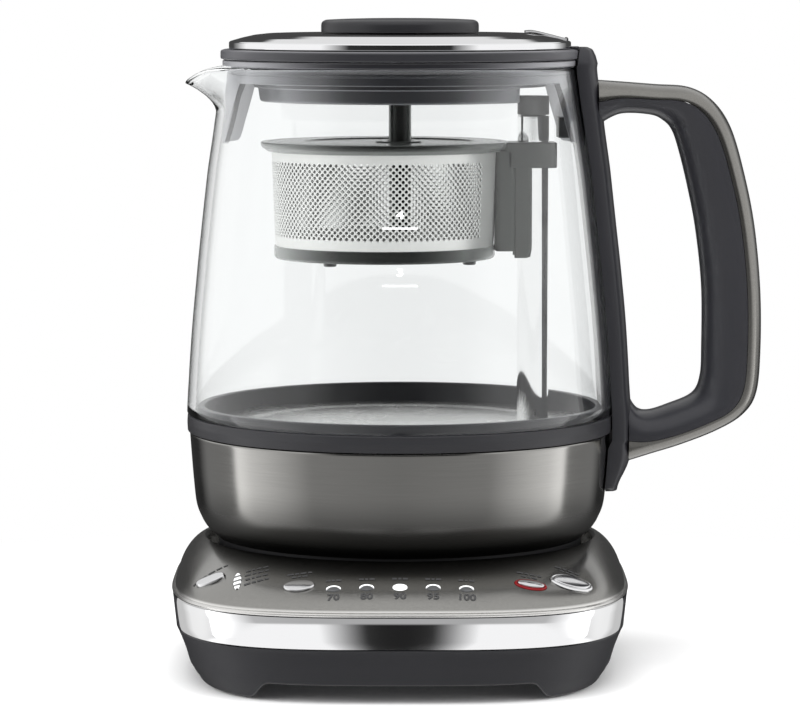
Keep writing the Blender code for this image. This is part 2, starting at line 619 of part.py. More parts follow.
# Power base
def base_housing():
    """Charcoal tray with four corner legs; the boards lie on its ledge."""
    def wall_ring(z, band_inset):
        points = []
        for a in plan_angles():
            behind_band = math.sin(a) < -math.sin(BAND_END_ANGLE) + MERGE
            inset = band_inset + (BAND_THICKNESS + SEAT_GAP if behind_band else 0.0)
            radius = plan_radius(a, inset)
            points.append((radius * math.cos(a), radius * math.sin(a), z))
        return points
    wall_inner = BAND_BOTTOM_INSET + HOUSING_WALL
    step_z = BAND_BOTTOM_Z - SEAT_GAP
    rings = [
        plan_ring(wall_inner + LEDGE_WIDTH, FLOOR_TOP_Z),
        plan_ring(wall_inner + LEDGE_WIDTH, LEDGE_Z),
        plan_ring(wall_inner, LEDGE_Z),
        plan_ring(BAND_TOP_INSET + HOUSING_TOP_WALL, BAND_TOP_Z),
        wall_ring(BAND_TOP_Z, BAND_TOP_INSET),
        wall_ring(step_z, BAND_BOTTOM_INSET),
        plan_ring(BAND_BOTTOM_INSET, step_z - MERGE),
        plan_ring(SKIRT_BEND_INSET, SKIRT_BEND_Z),
        plan_ring(SKIRT_INSET, FLOOR_BOTTOM_Z),
        plan_ring(LEG_BOTTOM_INSET, LEG_BOTTOM_Z),
    ]
    housing = loft("base_housing", rings, "housing_plastic")
    span = BASE_FRONT + OVERRUN
    for name, half, turn in (("leg_gap_front_back", BASE_HALF_WIDTH - LEG_WIDTH, 0.0),
                             ("leg_gap_sides", BASE_BACK - LEG_DEPTH, math.pi / 2)):
        outline = [(-half - LEG_SLOPE, -OVERRUN), (half + LEG_SLOPE, -OVERRUN),
                   (half + LEG_SLOPE, LEG_BOTTOM_Z), (half, FLOOR_BOTTOM_Z),
                   (-half, FLOOR_BOTTOM_Z), (-half - LEG_SLOPE, LEG_BOTTOM_Z)]
        gap = loft(name, [[(x, side, z) for x, z in outline] for side in (-span, span)])
        gap.rotation_euler.z = turn
        cut(housing, gap)
    for index, (x, y) in enumerate(screw_places(), 1):
        hole = cylinder(f"screw_hole_{index}", SCREW_SHANK_RADIUS + SEAT_GAP,
                        FLOOR_BOTTOM_Z - OVERRUN, FLOOR_TOP_Z + OVERRUN, facets=TINY_FACETS, x=x, y=y)
        cut(housing, hole)
    opening = cylinder("gland_hole", GLAND_RADIUS + SEAT_GAP, -OVERRUN, GLAND_LENGTH, facets=TINY_FACETS,
                       x=GLAND_X, y=BASE_BACK - GLAND_LENGTH)
    opening.location.z = BAND_BOTTOM_Z - GLAND_DROP
    opening.rotation_euler.x = -math.pi / 2
    cut(housing, opening)


def screw_places():
    """Three screws on a circle, one at the back."""
    circle = RECESS_RADIUS - SCREW_MARGIN
    return [(circle * math.cos(a), circle * math.sin(a))
            for a in (SCREW_START + math.tau * index / SCREW_COUNT for index in range(SCREW_COUNT))]


def front_band():
    """Polished metal strip round the front, from corner to corner."""
    stations = []
    for a in (a for a in plan_angles() if math.sin(a) < -math.sin(BAND_END_ANGLE)):
        section = []
        for z, inset in ((BAND_TOP_Z, BAND_TOP_INSET), (BAND_BOTTOM_Z, BAND_BOTTOM_INSET),
                         (BAND_BOTTOM_Z, BAND_BOTTOM_INSET + BAND_THICKNESS),
                         (BAND_TOP_Z, BAND_TOP_INSET + BAND_THICKNESS)):
            radius = plan_radius(a, inset)
            section.append((radius * math.cos(a), radius * math.sin(a), z))
        stations.append(section)
    loft("front_band", stations, "polished_steel")


def base_cover():
    """Warm grey cover: lip, sloped panel, and the round recess that the jug stands in."""
    rings = [plan_ring(LIP_INSET, LIP_BOTTOM_Z), plan_ring(0.0, LIP_EDGE_Z), plan_ring(0.0, LIP_TOP_Z)]
    rings += [[tuple(panel_point(a, share)) for a in plan_angles()] for share in COVER_OUTER_SHARES]
    rings.append(round_ring(RIM_RADIUS, RIM_Z))
    rings.append(round_ring(RECESS_RADIUS, RIM_Z - RIM_BAND / 2))
    rings.append(round_ring(RECESS_RADIUS, RECESS_Z))
    rings.append(round_ring(TURRET_RADIUS + SEAT_GAP, RECESS_Z))
    rings.append(round_ring(TURRET_RADIUS + SEAT_GAP, RECESS_Z - COVER_WALL))
    rings.append(round_ring(RECESS_RADIUS + RIM_BAND, RECESS_Z - COVER_WALL))
    rings += [[tuple(panel_point(a, share) - panel_normal(a, share) * COVER_WALL) for a in plan_angles()]
              for share in COVER_INNER_SHARES]
    rings.append(plan_ring(COVER_WALL + LIP_INSET, LIP_TOP_Z - MERGE))
    rings.append(plan_ring(COVER_WALL + LIP_INSET, LIP_BOTTOM_Z))
    cover = loft("base_cover", rings, "hickory_metal", closed=True)
    bore = SCREW_SHANK_RADIUS + SEAT_GAP
    bore_top = FLOOR_TOP_Z + SCREW_REACH + SEAT_GAP
    top = RECESS_Z - COVER_WALL / 2
    foot = FLOOR_TOP_Z + BOSS_CLEARANCE
    profile = [(0.0, top), (BOSS_RADIUS, top), (BOSS_RADIUS, foot), (bore, foot), (bore, bore_top),
               (0.0, bore_top)]
    for index, (x, y) in enumerate(screw_places(), 1):
        fuse(cover, turned(f"cover_boss_{index}", profile, facets=TINY_FACETS, x=x, y=y))
    for name, place, oval, pocket in panel_openings():
        wide = grown(oval, pocket)
        hole = oval_stack(f"{name}_opening", [(*wide, -POCKET_DEPTH), (*wide, -PANEL_SKIN),
                                              (*oval, -PANEL_SKIN + MERGE), (*oval, OVERRUN)])
        hole.matrix_local = panel_frame(place)
        cut(cover, hole)


def grown(oval, amount):
    return (oval[0] + amount, oval[1] + amount)


def tea_lamp_places():
    middle = (TEA_LAMP_COUNT - 1) / 2
    return [((index - middle) * TEA_LAMP_PITCH, TEA_LAMP_Y) for index in range(TEA_LAMP_COUNT)]


def panel_openings():
    """Every hole in the panel: name, place, half sizes, how much wider its pocket is underneath."""
    flange = BUTTON_FLANGE + 2 * SEAT_GAP
    holes = [
        ("strength", STRENGTH_PLACE, grown(STRENGTH_OVAL, SEAT_GAP), flange),
        ("select", SELECT_PLACE, grown(SELECT_OVAL, SEAT_GAP), flange),
        ("keep_warm", KEEP_WARM_PLACE, grown(KEEP_WARM_OVAL, 2 * SEAT_GAP + HALO_WIDTH), flange),
        ("start", START_PLACE, grown(START_OVAL, 2 * SEAT_GAP + BEZEL_WIDTH), flange),
    ]
    for index, place in enumerate(tea_lamp_places(), 1):
        holes.append((f"tea_lamp_{index}", place, grown((TEA_LAMP_RADIUS,) * 2, SEAT_GAP), MERGE))
    holes.append(("strength_lamps", STRENGTH_LAMPS_PLACE, grown(STRENGTH_LAMPS_OVAL, SEAT_GAP), MERGE))
    return holes


def button(name, place, oval, collar=0.0):
    """A sprung button: cap, flange under the panel and stem over its switch."""
    flange_top = -PANEL_SKIN - SEAT_GAP
    flange = grown(oval, collar + BUTTON_FLANGE)
    flange_bottom = flange_top - BUTTON_FLANGE
    levels = [
        (BUTTON_STEM_RADIUS, BUTTON_STEM_RADIUS, flange_bottom - BUTTON_STEM),
        (BUTTON_STEM_RADIUS, BUTTON_STEM_RADIUS, flange_bottom),
        (*flange, flange_bottom), (*flange, flange_top),
        (*oval, flange_top), (*oval, BUTTON_PROUD / 2),
        (*grown(oval, -BUTTON_PROUD / 2), BUTTON_PROUD),
    ]
    cap = oval_stack(name, levels, "silver_button")
    cap.matrix_local = panel_frame(place)


def panel_ring(name, place, oval, width, finish_name):
    """A ring in the panel round a button."""
    inner = grown(oval, SEAT_GAP)
    outer = grown(inner, width)
    crown = grown(oval, SEAT_GAP + width / 2)
    levels = [(*outer, -PANEL_SKIN), (*outer, 0.0), (*crown, BUTTON_PROUD / 2), (*inner, 0.0),
              (*inner, -PANEL_SKIN)]
    rings = [oval_ring(*level) for level in levels]
    ring = loft(name, rings, finish_name, closed=True)
    ring.matrix_local = panel_frame(place)


def push_switch(name, place):
    """A push switch that stands on the control board, square under its button."""
    frame = panel_frame(place)
    top = -PANEL_SKIN - 2 * SEAT_GAP - BUTTON_FLANGE - BUTTON_STEM - BUTTON_TRAVEL
    foot = LEDGE_Z + SEAT_GAP + BOARD_THICKNESS + SEAT_GAP
    mesh = bpy.data.meshes.new(name)
    shape = bmesh.new()
    bmesh.ops.create_cube(shape, size=1.0)
    length = frame.translation.z
    bmesh.ops.scale(shape, vec=(SWITCH_SIZE, SWITCH_SIZE, length), verts=shape.verts)
    bmesh.ops.translate(shape, vec=(0.0, 0.0, top - length / 2), verts=shape.verts)
    bmesh.ops.transform(shape, matrix=frame, verts=shape.verts)
    everything = shape.verts[:] + shape.edges[:] + shape.faces[:]
    bmesh.ops.bisect_plane(shape, geom=everything, plane_co=(0.0, 0.0, foot), plane_no=(0.0, 0.0, 1.0),
                           clear_inner=True)
    bmesh.ops.holes_fill(shape, edges=shape.edges)
    shape.to_mesh(mesh)
    shape.free()
    add_object(name, mesh, "black_plastic")


def lamp_strip(name, places, radius):
    """Lamp lenses on one light guide that runs behind the panel."""
    route = [panel_frame(place) @ Vector((0.0, 0.0, -LAMP_DEPTH)) for place in places]
    step = (route[1] - route[0]) * GUIDE_END_SHARE
    last_step = (route[-1] - route[-2]) * GUIDE_END_SHARE
    route = [route[0] - step] + route + [route[-1] + last_step]
    sections = []
    for here, point in enumerate(route):
        along = (route[min(here + 1, len(route) - 1)] - route[max(here - 1, 0)]).normalized()
        up = panel_frame(places[max(0, min(here - 1, len(places) - 1))]).to_3x3().col[2]
        side = along.cross(up).normalized()
        up = side.cross(along)
        sections.append([tuple(point + (side * math.cos(a) + up * math.sin(a)) * GUIDE_RADIUS)
                         for a in (math.tau * i / GUIDE_FACETS for i in range(GUIDE_FACETS))])
    guide = loft(name, sections, "lamp_lens")
    foot = -LAMP_DEPTH - GUIDE_RADIUS * GUIDE_SINK_SHARE
    for index, place in enumerate(places, 1):
        lens = oval_stack(f"{name}_{index}", [(radius, radius, foot), (radius, radius, LAMP_PROUD)],
                          facets=TINY_FACETS)
        lens.matrix_local = panel_frame(place)
        fuse(guide, lens)


def crescent_board():
    """Control board under the panel, on the housing's ledge."""
    bottom = LEDGE_Z + SEAT_GAP
    top = bottom + BOARD_THICKNESS
    inner = RECESS_RADIUS - BOARD_INNER_MARGIN
    stations = []
    for a in (a for a in plan_angles() if math.sin(a) < -math.sin(BOARD_END_ANGLE)):
        outer = plan_radius(a, BAND_BOTTOM_INSET + HOUSING_WALL + SEAT_GAP)
        corners = ((outer, bottom), (outer, top), (inner, top), (inner, bottom))
        stations.append([(r * math.cos(a), r * math.sin(a), z) for r, z in corners])
    loft("control_board", stations, "circuit_board")


def power_electronics():
    """Power board on the back ledge, with its transformer."""
    bottom = LEDGE_Z + SEAT_GAP
    top = bottom + BOARD_THICKNESS
    back = BASE_BACK - BAND_BOTTOM_INSET - HOUSING_WALL - POWER_BOARD_MARGIN
    front = back - POWER_BOARD_SIZE[1]
    half = POWER_BOARD_SIZE[0] / 2
    box("power_board", (-half, front, bottom), (half, back, top), "circuit_board")
    width, depth, height = TRANSFORMER_SIZE
    box("transformer", (-width / 2, front + SEAT_GAP, top + SEAT_GAP),
        (width / 2, front + SEAT_GAP + depth, top + SEAT_GAP + height), "winding")


def cord_gland():
    """Strain relief bush for the supply cord, in the back wall."""
    flange = GLAND_RADIUS * GLAND_FLANGE_SHARE
    outside = GLAND_LENGTH - SKIRT_BEND_INSET
    profile = [(0.0, GLAND_LENGTH - SEAT_GAP), (GLAND_RADIUS - SEAT_GAP, GLAND_LENGTH - SEAT_GAP),
               (flange, outside + SCREW_HEAD), (flange, outside + SEAT_GAP),
               (GLAND_RADIUS, outside + SEAT_GAP), (GLAND_RADIUS, SEAT_GAP), (0.0, SEAT_GAP)]
    gland = turned("cord_gland", profile, "black_rubber", SMALL_FACETS, x=GLAND_X,
                   y=BASE_BACK - GLAND_LENGTH, z=BAND_BOTTOM_Z - GLAND_DROP)
    gland.rotation_euler.x = -math.pi / 2


def base_connector():
    """Round cordless socket: plastic turret with the contact pin in its middle."""
    under = RECESS_Z - COVER_WALL - SEAT_GAP
    foot = under - TURRET_FLANGE
    bore = PIN_RADIUS + SEAT_GAP
    wide = TURRET_RADIUS + TURRET_FLANGE_WIDTH
    profile = [(bore, TURRET_TOP_Z), (TURRET_RADIUS - TURRET_FLANGE, TURRET_TOP_Z),
               (TURRET_RADIUS, TURRET_TOP_Z - TURRET_FLANGE), (TURRET_RADIUS, under), (wide, under),
               (wide, foot), (bore, foot)]
    turned("base_connector", profile, "black_plastic", SMALL_FACETS)
    head = PIN_RADIUS + PIN_HEAD_WIDTH
    pin = [(0.0, PIN_TOP_Z), (PIN_RADIUS - PIN_CHAMFER, PIN_TOP_Z), (PIN_RADIUS, PIN_TOP_Z - PIN_CHAMFER),
           (PIN_RADIUS, foot - SEAT_GAP), (head, foot - SEAT_GAP), (head, foot - TURRET_FLANGE),
           (0.0, foot - TURRET_FLANGE)]
    turned("contact_pin", pin, "brass", TINY_FACETS)


def jug_seat():
    """Black ring in the recess that the jug stands on."""
    top = RECESS_Z + SEAT_GAP + SEAT_HEIGHT
    profile = [(SEAT_OUTER_RADIUS, top), (SEAT_OUTER_RADIUS, RECESS_Z + SEAT_GAP),
               (SEAT_INNER_RADIUS, RECESS_Z + SEAT_GAP), (SEAT_INNER_RADIUS, top)]
    turned("jug_seat", profile, "black_rubber", INNER_FACETS)


def feet_and_screws():
    """Four rubber feet under the legs, and the screws that hold the cover to the tray."""
    side = BASE_HALF_WIDTH - FOOT_SIDE_MARGIN
    front = FOOT_FRONT_MARGIN - BASE_FRONT
    back = BASE_BACK - FOOT_BACK_MARGIN
    for index, (x, y) in enumerate(((-side, front), (side, front), (-side, back), (side, back)), 1):
        cylinder(f"rubber_foot_{index}", FOOT_RADIUS, 0.0, FOOT_HEIGHT, "black_rubber", SMALL_FACETS, x, y)
    head_top = FLOOR_BOTTOM_Z - SEAT_GAP
    tip = FLOOR_TOP_Z + SCREW_REACH
    profile = screw_profile(tip, head_top)
    for index, (x, y) in enumerate(screw_places(), 1):
        turned(f"base_screw_{index}", profile, "brushed_steel", TINY_FACETS, x, y)


def screw_profile(tip, head):
    """A screw's outline: its tip above, its head hanging from a height."""
    return [(0.0, tip), (SCREW_SHANK_RADIUS, tip), (SCREW_SHANK_RADIUS, head), (SCREW_HEAD_RADIUS, head),
            (SCREW_HEAD_RADIUS, head - SCREW_HEAD), (0.0, head - SCREW_HEAD)]


# Jug
def wall_radius(z):
    """Outer radius of the glass at a height."""
    share = (z - GLASS_FOOT_Z) / (GLASS_MOUTH_Z - GLASS_FOOT_Z)
    taper = GLASS_BULGE_SHARE * share + (1 - GLASS_BULGE_SHARE) * share ** 3
    return GLASS_FOOT_RADIUS + (GLASS_MOUTH_RADIUS - GLASS_FOOT_RADIUS) * taper


def spout_point(angle, share, offset):
    """A point of the glass wall, drawn out into the spout near the mouth at -X."""
    z = GLASS_FOOT_Z + (GLASS_MOUTH_Z - GLASS_FOOT_Z) * share
    radius = wall_radius(z) - offset
    away = abs(math.remainder(angle - math.pi, math.tau)) / SPOUT_HALF_ANGLE
    if away < 1 and share > SPOUT_START_SHARE:
        sideways = math.cos(away * math.pi / 2) ** SPOUT_SIDE_POWER
        rise = (share - SPOUT_START_SHARE) / (1 - SPOUT_START_SHARE)
        radius += SPOUT_REACH * sideways * rise ** SPOUT_REACH_POWER
        z -= SPOUT_DROP * sideways * rise ** SPOUT_DROP_POWER
    return (radius * math.cos(angle), radius * math.sin(angle), z)


def glass_vessel():
    """Clear glass wall, open at both ends, with its spout."""
    angles = [math.tau * index / WIDE_FACETS for index in range(WIDE_FACETS)]
    rings = [[spout_point(a, share, 0.0) for a in angles] for share in GLASS_LEVEL_SHARES]
    rings += [[spout_point(a, share, GLASS_WALL) for a in angles] for share in reversed(GLASS_LEVEL_SHARES)]
    loft("glass_vessel", rings, "clear_glass", closed=True)


def jug_collar():
    """Grey collar in the mouth; a tongue runs down inside the glass at the spout and at the handle."""
    def lower_edge(angle, radius):
        away = min(abs(math.remainder(angle, math.tau)), abs(math.remainder(angle - math.pi, math.tau)))
        reach = (TONGUE_TOP_HALF_ANGLE - away) / (TONGUE_TOP_HALF_ANGLE - TONGUE_FOOT_HALF_ANGLE)
        reach = max(0.0, min(1.0, reach))
        edge = radius + TONGUE_LEAN * reach
        z = COLLAR_BOTTOM_Z + (GLASS_MOUTH_Z - TONGUE_DEPTH - COLLAR_BOTTOM_Z) * reach
        return (edge * math.cos(angle), edge * math.sin(angle), z)
    angles = [math.tau * index / WIDE_FACETS for index in range(WIDE_FACETS)]
    flange_z = GLASS_MOUTH_Z + SEAT_GAP
    flange_radius = GLASS_MOUTH_RADIUS - COLLAR_INSET
    rings = [
        round_ring(flange_radius, COLLAR_TOP_Z, WIDE_FACETS),
        round_ring(flange_radius, flange_z, WIDE_FACETS),
        round_ring(COLLAR_SKIRT_RADIUS, flange_z, WIDE_FACETS),
        round_ring(COLLAR_SKIRT_RADIUS, COLLAR_BOTTOM_Z + OVERRUN, WIDE_FACETS),
        [lower_edge(a, COLLAR_SKIRT_RADIUS) for a in angles],
        [lower_edge(a, COLLAR_SKIRT_RADIUS - TONGUE_WALL) for a in angles],
        round_ring(COLLAR_BORE_RADIUS, COLLAR_BOTTOM_Z + OVERRUN, WIDE_FACETS),
        round_ring(COLLAR_BORE_RADIUS, COLLAR_TOP_Z, WIDE_FACETS),
    ]
    loft("jug_collar", rings, "grey_plastic", closed=True)


def jug_band():
    """Dark ring between glass and shell; its lip holds the glass, its ledge the heater plate."""
    ledge = JUG_BAND_INNER_RADIUS - JUG_BAND_LEDGE_WIDTH
    ledge_z = JUG_BAND_LOW_Z + JUG_BAND_LEDGE
    lip = JUG_BAND_INNER_RADIUS + JUG_BAND_WALL
    profile = [(JUG_BAND_RADIUS, JUG_BAND_HIGH_Z), (JUG_BAND_RADIUS, JUG_BAND_LOW_Z), (ledge, JUG_BAND_LOW_Z),
               (ledge, ledge_z), (JUG_BAND_INNER_RADIUS, ledge_z), (JUG_BAND_INNER_RADIUS, JUG_BAND_LIP_Z),
               (lip, JUG_BAND_LIP_Z), (lip, JUG_BAND_HIGH_Z)]
    turned("jug_band", profile, "charcoal_plastic")


def shell_point(level, depth=0.0):
    """Radius and height of a level of the shell's outline, moved in from its face."""
    height, inset = level
    return (SHELL_TOP_RADIUS - inset - depth, JUG_BOTTOM_Z + height)


def jug_shell():
    """Warm grey metal skirt under the band, turned in at its foot."""
    lip = shell_point(SHELL_LIP)
    profile = [(SHELL_TOP_RADIUS, SHELL_TOP_Z)]
    profile += [shell_point(level) for level in (SHELL_WAIST, SHELL_TURN, SHELL_CURVE, SHELL_HEEL, SHELL_TOE)]
    profile += [lip, (lip[0], lip[1] + SHELL_WALL)]
    profile += [shell_point(level, SHELL_WALL) for level in (SHELL_HEEL, SHELL_TURN)]
    profile.append((SHELL_TOP_RADIUS - SHELL_WALL, SHELL_TOP_Z))
    shell = turned("jug_shell", profile, "hickory_metal")
    hole = cylinder("shell_screw_hole", SCREW_SHANK_RADIUS + SEAT_GAP,
                    shell_point(SHELL_TURN)[0] - 2 * SHELL_WALL, SHELL_TOP_RADIUS + OVERRUN,
                    facets=TINY_FACETS)
    hole.rotation_euler.y = math.pi / 2
    hole.location.z = HANDLE_SCREW_Z
    cut(shell, hole)


def jug_base_cover():
    """Black plate that closes the jug's underside round the connector socket."""
    bore = SOCKET_RADIUS + RUNNING_GAP
    floor_top = JUG_BOTTOM_Z + UNDERSIDE_WALL
    top = UNDERSIDE_FLANGE_Z + UNDERSIDE_FLANGE
    inner = UNDERSIDE_RADIUS - UNDERSIDE_WALL
    flange = shell_point(SHELL_TOE)[0] - SEAT_GAP
    profile = [(flange, top), (flange, UNDERSIDE_FLANGE_Z), (UNDERSIDE_RADIUS, UNDERSIDE_FLANGE_Z),
               (UNDERSIDE_RADIUS, floor_top), (UNDERSIDE_RADIUS - UNDERSIDE_WALL / 2, JUG_BOTTOM_Z),
               (bore, JUG_BOTTOM_Z), (bore, floor_top), (inner, floor_top), (inner, top)]
    turned("jug_base_cover", profile, "black_plastic", INNER_FACETS)


def jug_socket():
    """The jug's half of the cordless connector; it lets the jug turn all round."""
    cavity = TURRET_RADIUS + RUNNING_GAP
    cavity_top = TURRET_TOP_Z + RUNNING_GAP
    bore = PIN_RADIUS + RUNNING_GAP
    bore_top = PIN_TOP_Z + RUNNING_GAP
    flange = SOCKET_RADIUS + SOCKET_WALL
    flange_z = JUG_BOTTOM_Z + UNDERSIDE_WALL + RUNNING_GAP
    profile = [(0.0, SOCKET_TOP_Z), (SOCKET_RADIUS, SOCKET_TOP_Z), (SOCKET_RADIUS, flange_z + SOCKET_WALL),
               (flange, flange_z + SOCKET_WALL), (flange, flange_z), (SOCKET_RADIUS, flange_z),
               (SOCKET_RADIUS, JUG_BOTTOM_Z), (cavity, JUG_BOTTOM_Z), (cavity, cavity_top),
               (bore, cavity_top), (bore, bore_top), (0.0, bore_top)]
    turned("jug_connector", profile, "black_plastic", SMALL_FACETS)


def heater():
    """Steel heater plate on the band's ledge, its sheathed element and the temperature sensor below."""
    cylinder("heater_plate", JUG_BAND_INNER_RADIUS - SEAT_GAP, HEATER_BOTTOM_Z,
             HEATER_BOTTOM_Z + PLATE_THICKNESS, "brushed_steel", INNER_FACETS)
    top = HEATER_BOTTOM_Z - SEAT_GAP
    middle = top - ELEMENT_TUBE
    start = math.pi / 2 + ELEMENT_OPENING
    turn = math.tau - 2 * ELEMENT_OPENING
    route = [(ELEMENT_RADIUS * math.cos(a), ELEMENT_RADIUS * math.sin(a), middle)
             for a in (start + turn * index / ELEMENT_STEPS for index in range(ELEMENT_STEPS + 1))]
    first, last = route[0], route[-1]
    bend = middle - ELEMENT_TUBE - ELEMENT_TUBE / 2
    route = [(first[0], first[1], middle - ELEMENT_TAIL), (first[0], first[1], bend)] + route[1:-1]
    route += [(last[0], last[1], bend), (last[0], last[1], middle - ELEMENT_TAIL)]
    line = bpy.data.curves.new("heating_element", "CURVE")
    line.dimensions = "3D"
    line.bevel_depth = ELEMENT_TUBE
    line.bevel_resolution = 1
    line.use_fill_caps = True
    spline = line.splines.new("POLY")
    spline.points.add(len(route) - 1)
    for point, place in zip(spline.points, route):
        point.co = (*place, 1.0)
    tube = bpy.data.objects.new("heating_element", line)
    line.materials.append(finish("brushed_steel"))
    bpy.data.collections[PARTS].objects.link(tube)
    tube.parent = bpy.data.objects["jug_axis"]
    cylinder("temperature_sensor", SENSOR_RADIUS, top - SENSOR_LENGTH, top, "brass", TINY_FACETS)
    cylinder("lift_motor", MOTOR_RADIUS, top - MOTOR_LENGTH, top, "black_plastic", SMALL_FACETS, POST_X)


def strap_inner_radius(z):
    """Radius of the jug's outside that the strap lies on."""
    if z > GLASS_MOUTH_Z:
        return LID_RING_RADIUS
    if z > JUG_BAND_HIGH_Z:
        return wall_radius(z)
    if z > JUG_BAND_LOW_Z - STRAP_STEP:
        return GLASS_FOOT_RADIUS
    return SHELL_TOP_RADIUS


def handle_strap():
    """Charcoal frame up the outside of the glass, from the shell to the lid."""
    rings = []
    for z, thickness in STRAP_LEVELS:
        inner = strap_inner_radius(z) + SEAT_GAP + SEAT_GAP / 2
        narrowing = max(0.0, (z - GLASS_MOUTH_Z) / (STRAP_TOP_Z - GLASS_MOUTH_Z)) ** 2
        half = STRAP_HALF_WIDTH * (1 - STRAP_HEAD_NARROWING * narrowing)
        places = [half * (1 - 2 * index / STRAP_FACETS) for index in range(STRAP_FACETS + 1)]
        ring = [(math.sqrt(inner ** 2 - y ** 2), y, z) for y in places]
        edge = math.sqrt(inner ** 2 - half ** 2) + STRAP_EDGE
        outer = inner + STRAP_THICKNESS * thickness
        for y in reversed(places):
            crown = max(0.0, 1 - abs(y / half) ** STRAP_SQUARENESS) ** (1 / STRAP_SQUARENESS)
            ring.append((edge + (outer - edge) * crown, y, z))
        rings.append(ring)
    strap = loft("handle_strap", rings, "charcoal_plastic")
    inside = shell_point(SHELL_TURN)[0]
    tip = SHELL_TOP_RADIUS + HANDLE_SCREW_REACH
    bore = cylinder("strap_screw_bore", SCREW_SHANK_RADIUS + SEAT_GAP, inside, tip + SEAT_GAP,
                    facets=TINY_FACETS)
    bore.rotation_euler.y = math.pi / 2
    bore.location.z = HANDLE_SCREW_Z
    cut(strap, bore)
    head = inside - SHELL_WALL - SHELL_WALL / 2
    screw = turned("handle_screw", screw_profile(tip, head), "brushed_steel", TINY_FACETS, z=HANDLE_SCREW_Z)
    screw.rotation_euler.y = math.pi / 2


def half_section(flat, crown, half_width):
    """A D-shaped section: flat across one point, crowned towards the other."""
    power = 2 / HANDLE_SQUARENESS
    points = []
    for index in range(HANDLE_FACETS + 1):
        a = math.pi * index / HANDLE_FACETS
        side = math.copysign(abs(math.cos(a)) ** power, math.cos(a))
        rise = math.sin(a) ** power if 0 < index < HANDLE_FACETS else 0.0
        place = flat.lerp(crown, rise)
        points.append((place.x, half_width * side, place.z))
    return points


def handle():
    """C-shaped handle: soft dark grip inside, warm grey metal trim along its outside."""
    def place(shares):
        z = HANDLE_LOW_Z + (HANDLE_HIGH_Z - HANDLE_LOW_Z) * shares[1]
        slope = GLASS_FOOT_RADIUS - GLASS_TAPER * (z - GLASS_FOOT_Z) / GLASS_HEIGHT
        return (slope + HANDLE_SEAT + HANDLE_DEPTH * shares[0], z)
    rows = [(*place(outer), *place(inner), trim) for outer, inner, trim in HANDLE_SHARES]
    grip_rings, trim_rings = [], []
    for index, (ox, oz, ix, iz, trim) in enumerate(smooth_values(rows, HANDLE_STATIONS)):
        outer = Vector((ox, 0.0, oz))
        inner = Vector((ix, 0.0, iz))
        end = abs(2 * index / (HANDLE_STATIONS - 1) - 1) ** HANDLE_END_POWER
        half = HANDLE_HALF_WIDTH + (HANDLE_ARM_HALF_WIDTH - HANDLE_HALF_WIDTH) * end
        split = outer.lerp(inner, trim)
        gap = (inner - outer).normalized() * SEAT_GAP
        grip_rings.append(half_section(split + gap, inner, half))
        trim_rings.append(half_section(split, outer, half))
    loft("handle_grip", grip_rings, "soft_grip")
    loft("handle_trim", trim_rings, "hickory_metal")


# Lid
def lid_top():
    """Dark ring, steel plate with its slope, and the knob screwed through it."""
    top = LID_RING_Z + LID_RING_HEIGHT
    bore = LID_RING_RADIUS - LID_RING_WIDTH
    edge = LID_RING_HEIGHT / 3
    ring = [(bore, top), (LID_RING_RADIUS - edge, top), (LID_RING_RADIUS, top - edge),
            (LID_RING_RADIUS, LID_RING_Z + edge / 2), (LID_RING_RADIUS - edge / 2, LID_RING_Z),
            (bore, LID_RING_Z)]
    turned("lid_ring", ring, "charcoal_plastic")
    stud_bore = KNOB_STUD_RADIUS + SEAT_GAP
    ease = KNOB_ROUND / 4
    plate = [(stud_bore, LID_TOP_Z), (LID_TOP_RADIUS - 2 * KNOB_ROUND, LID_TOP_Z),
             (LID_TOP_RADIUS, LID_TOP_Z - ease), (LID_PLATE_RADIUS - 2 * ease, LID_SHOULDER_Z + ease),
             (LID_PLATE_RADIUS, LID_SHOULDER_Z - 2 * ease), (LID_PLATE_RADIUS, LID_PLATE_Z),
             (stud_bore, LID_PLATE_Z)]
    turned("lid_plate", plate, "polished_steel")
    foot = LID_TOP_Z + SEAT_GAP
    stud_foot = PLUG_TOP_Z + SEAT_GAP
    knob = [(0.0, KNOB_TOP_Z), (KNOB_RADIUS - KNOB_CROWN_WIDTH, KNOB_TOP_Z - KNOB_ROUND / 8),
            (KNOB_RADIUS - KNOB_ROUND, KNOB_TOP_Z - KNOB_ROUND / 3),
            (KNOB_RADIUS, KNOB_TOP_Z - KNOB_ROUND), (KNOB_RADIUS, foot + KNOB_ROUND / 2),
            (KNOB_RADIUS - KNOB_ROUND / 2, foot), (KNOB_STUD_RADIUS, foot),
            (KNOB_STUD_RADIUS, stud_foot), (0.0, stud_foot)]
    turned("lid_knob", knob, "charcoal_plastic")
    slope = LID_SLOPE_RISE / LID_SLOPE_WIDTH
    inner = LID_TOP_RADIUS - TAB_SEAT
    outer = LID_TOP_RADIUS + TAB_REACH
    outer_z = foot + SEAT_GAP - TAB_REACH * slope
    outline = [(inner, foot), (LID_TOP_RADIUS, foot), (outer, outer_z), (outer, outer_z + TAB_THICKNESS),
               (LID_TOP_RADIUS, foot + TAB_THICKNESS), (inner, foot + TAB_THICKNESS / 2)]
    loft("thumb_tab", [[(x, y, z) for x, z in outline] for y in (-TAB_HALF_WIDTH, TAB_HALF_WIDTH)],
         "polished_steel")


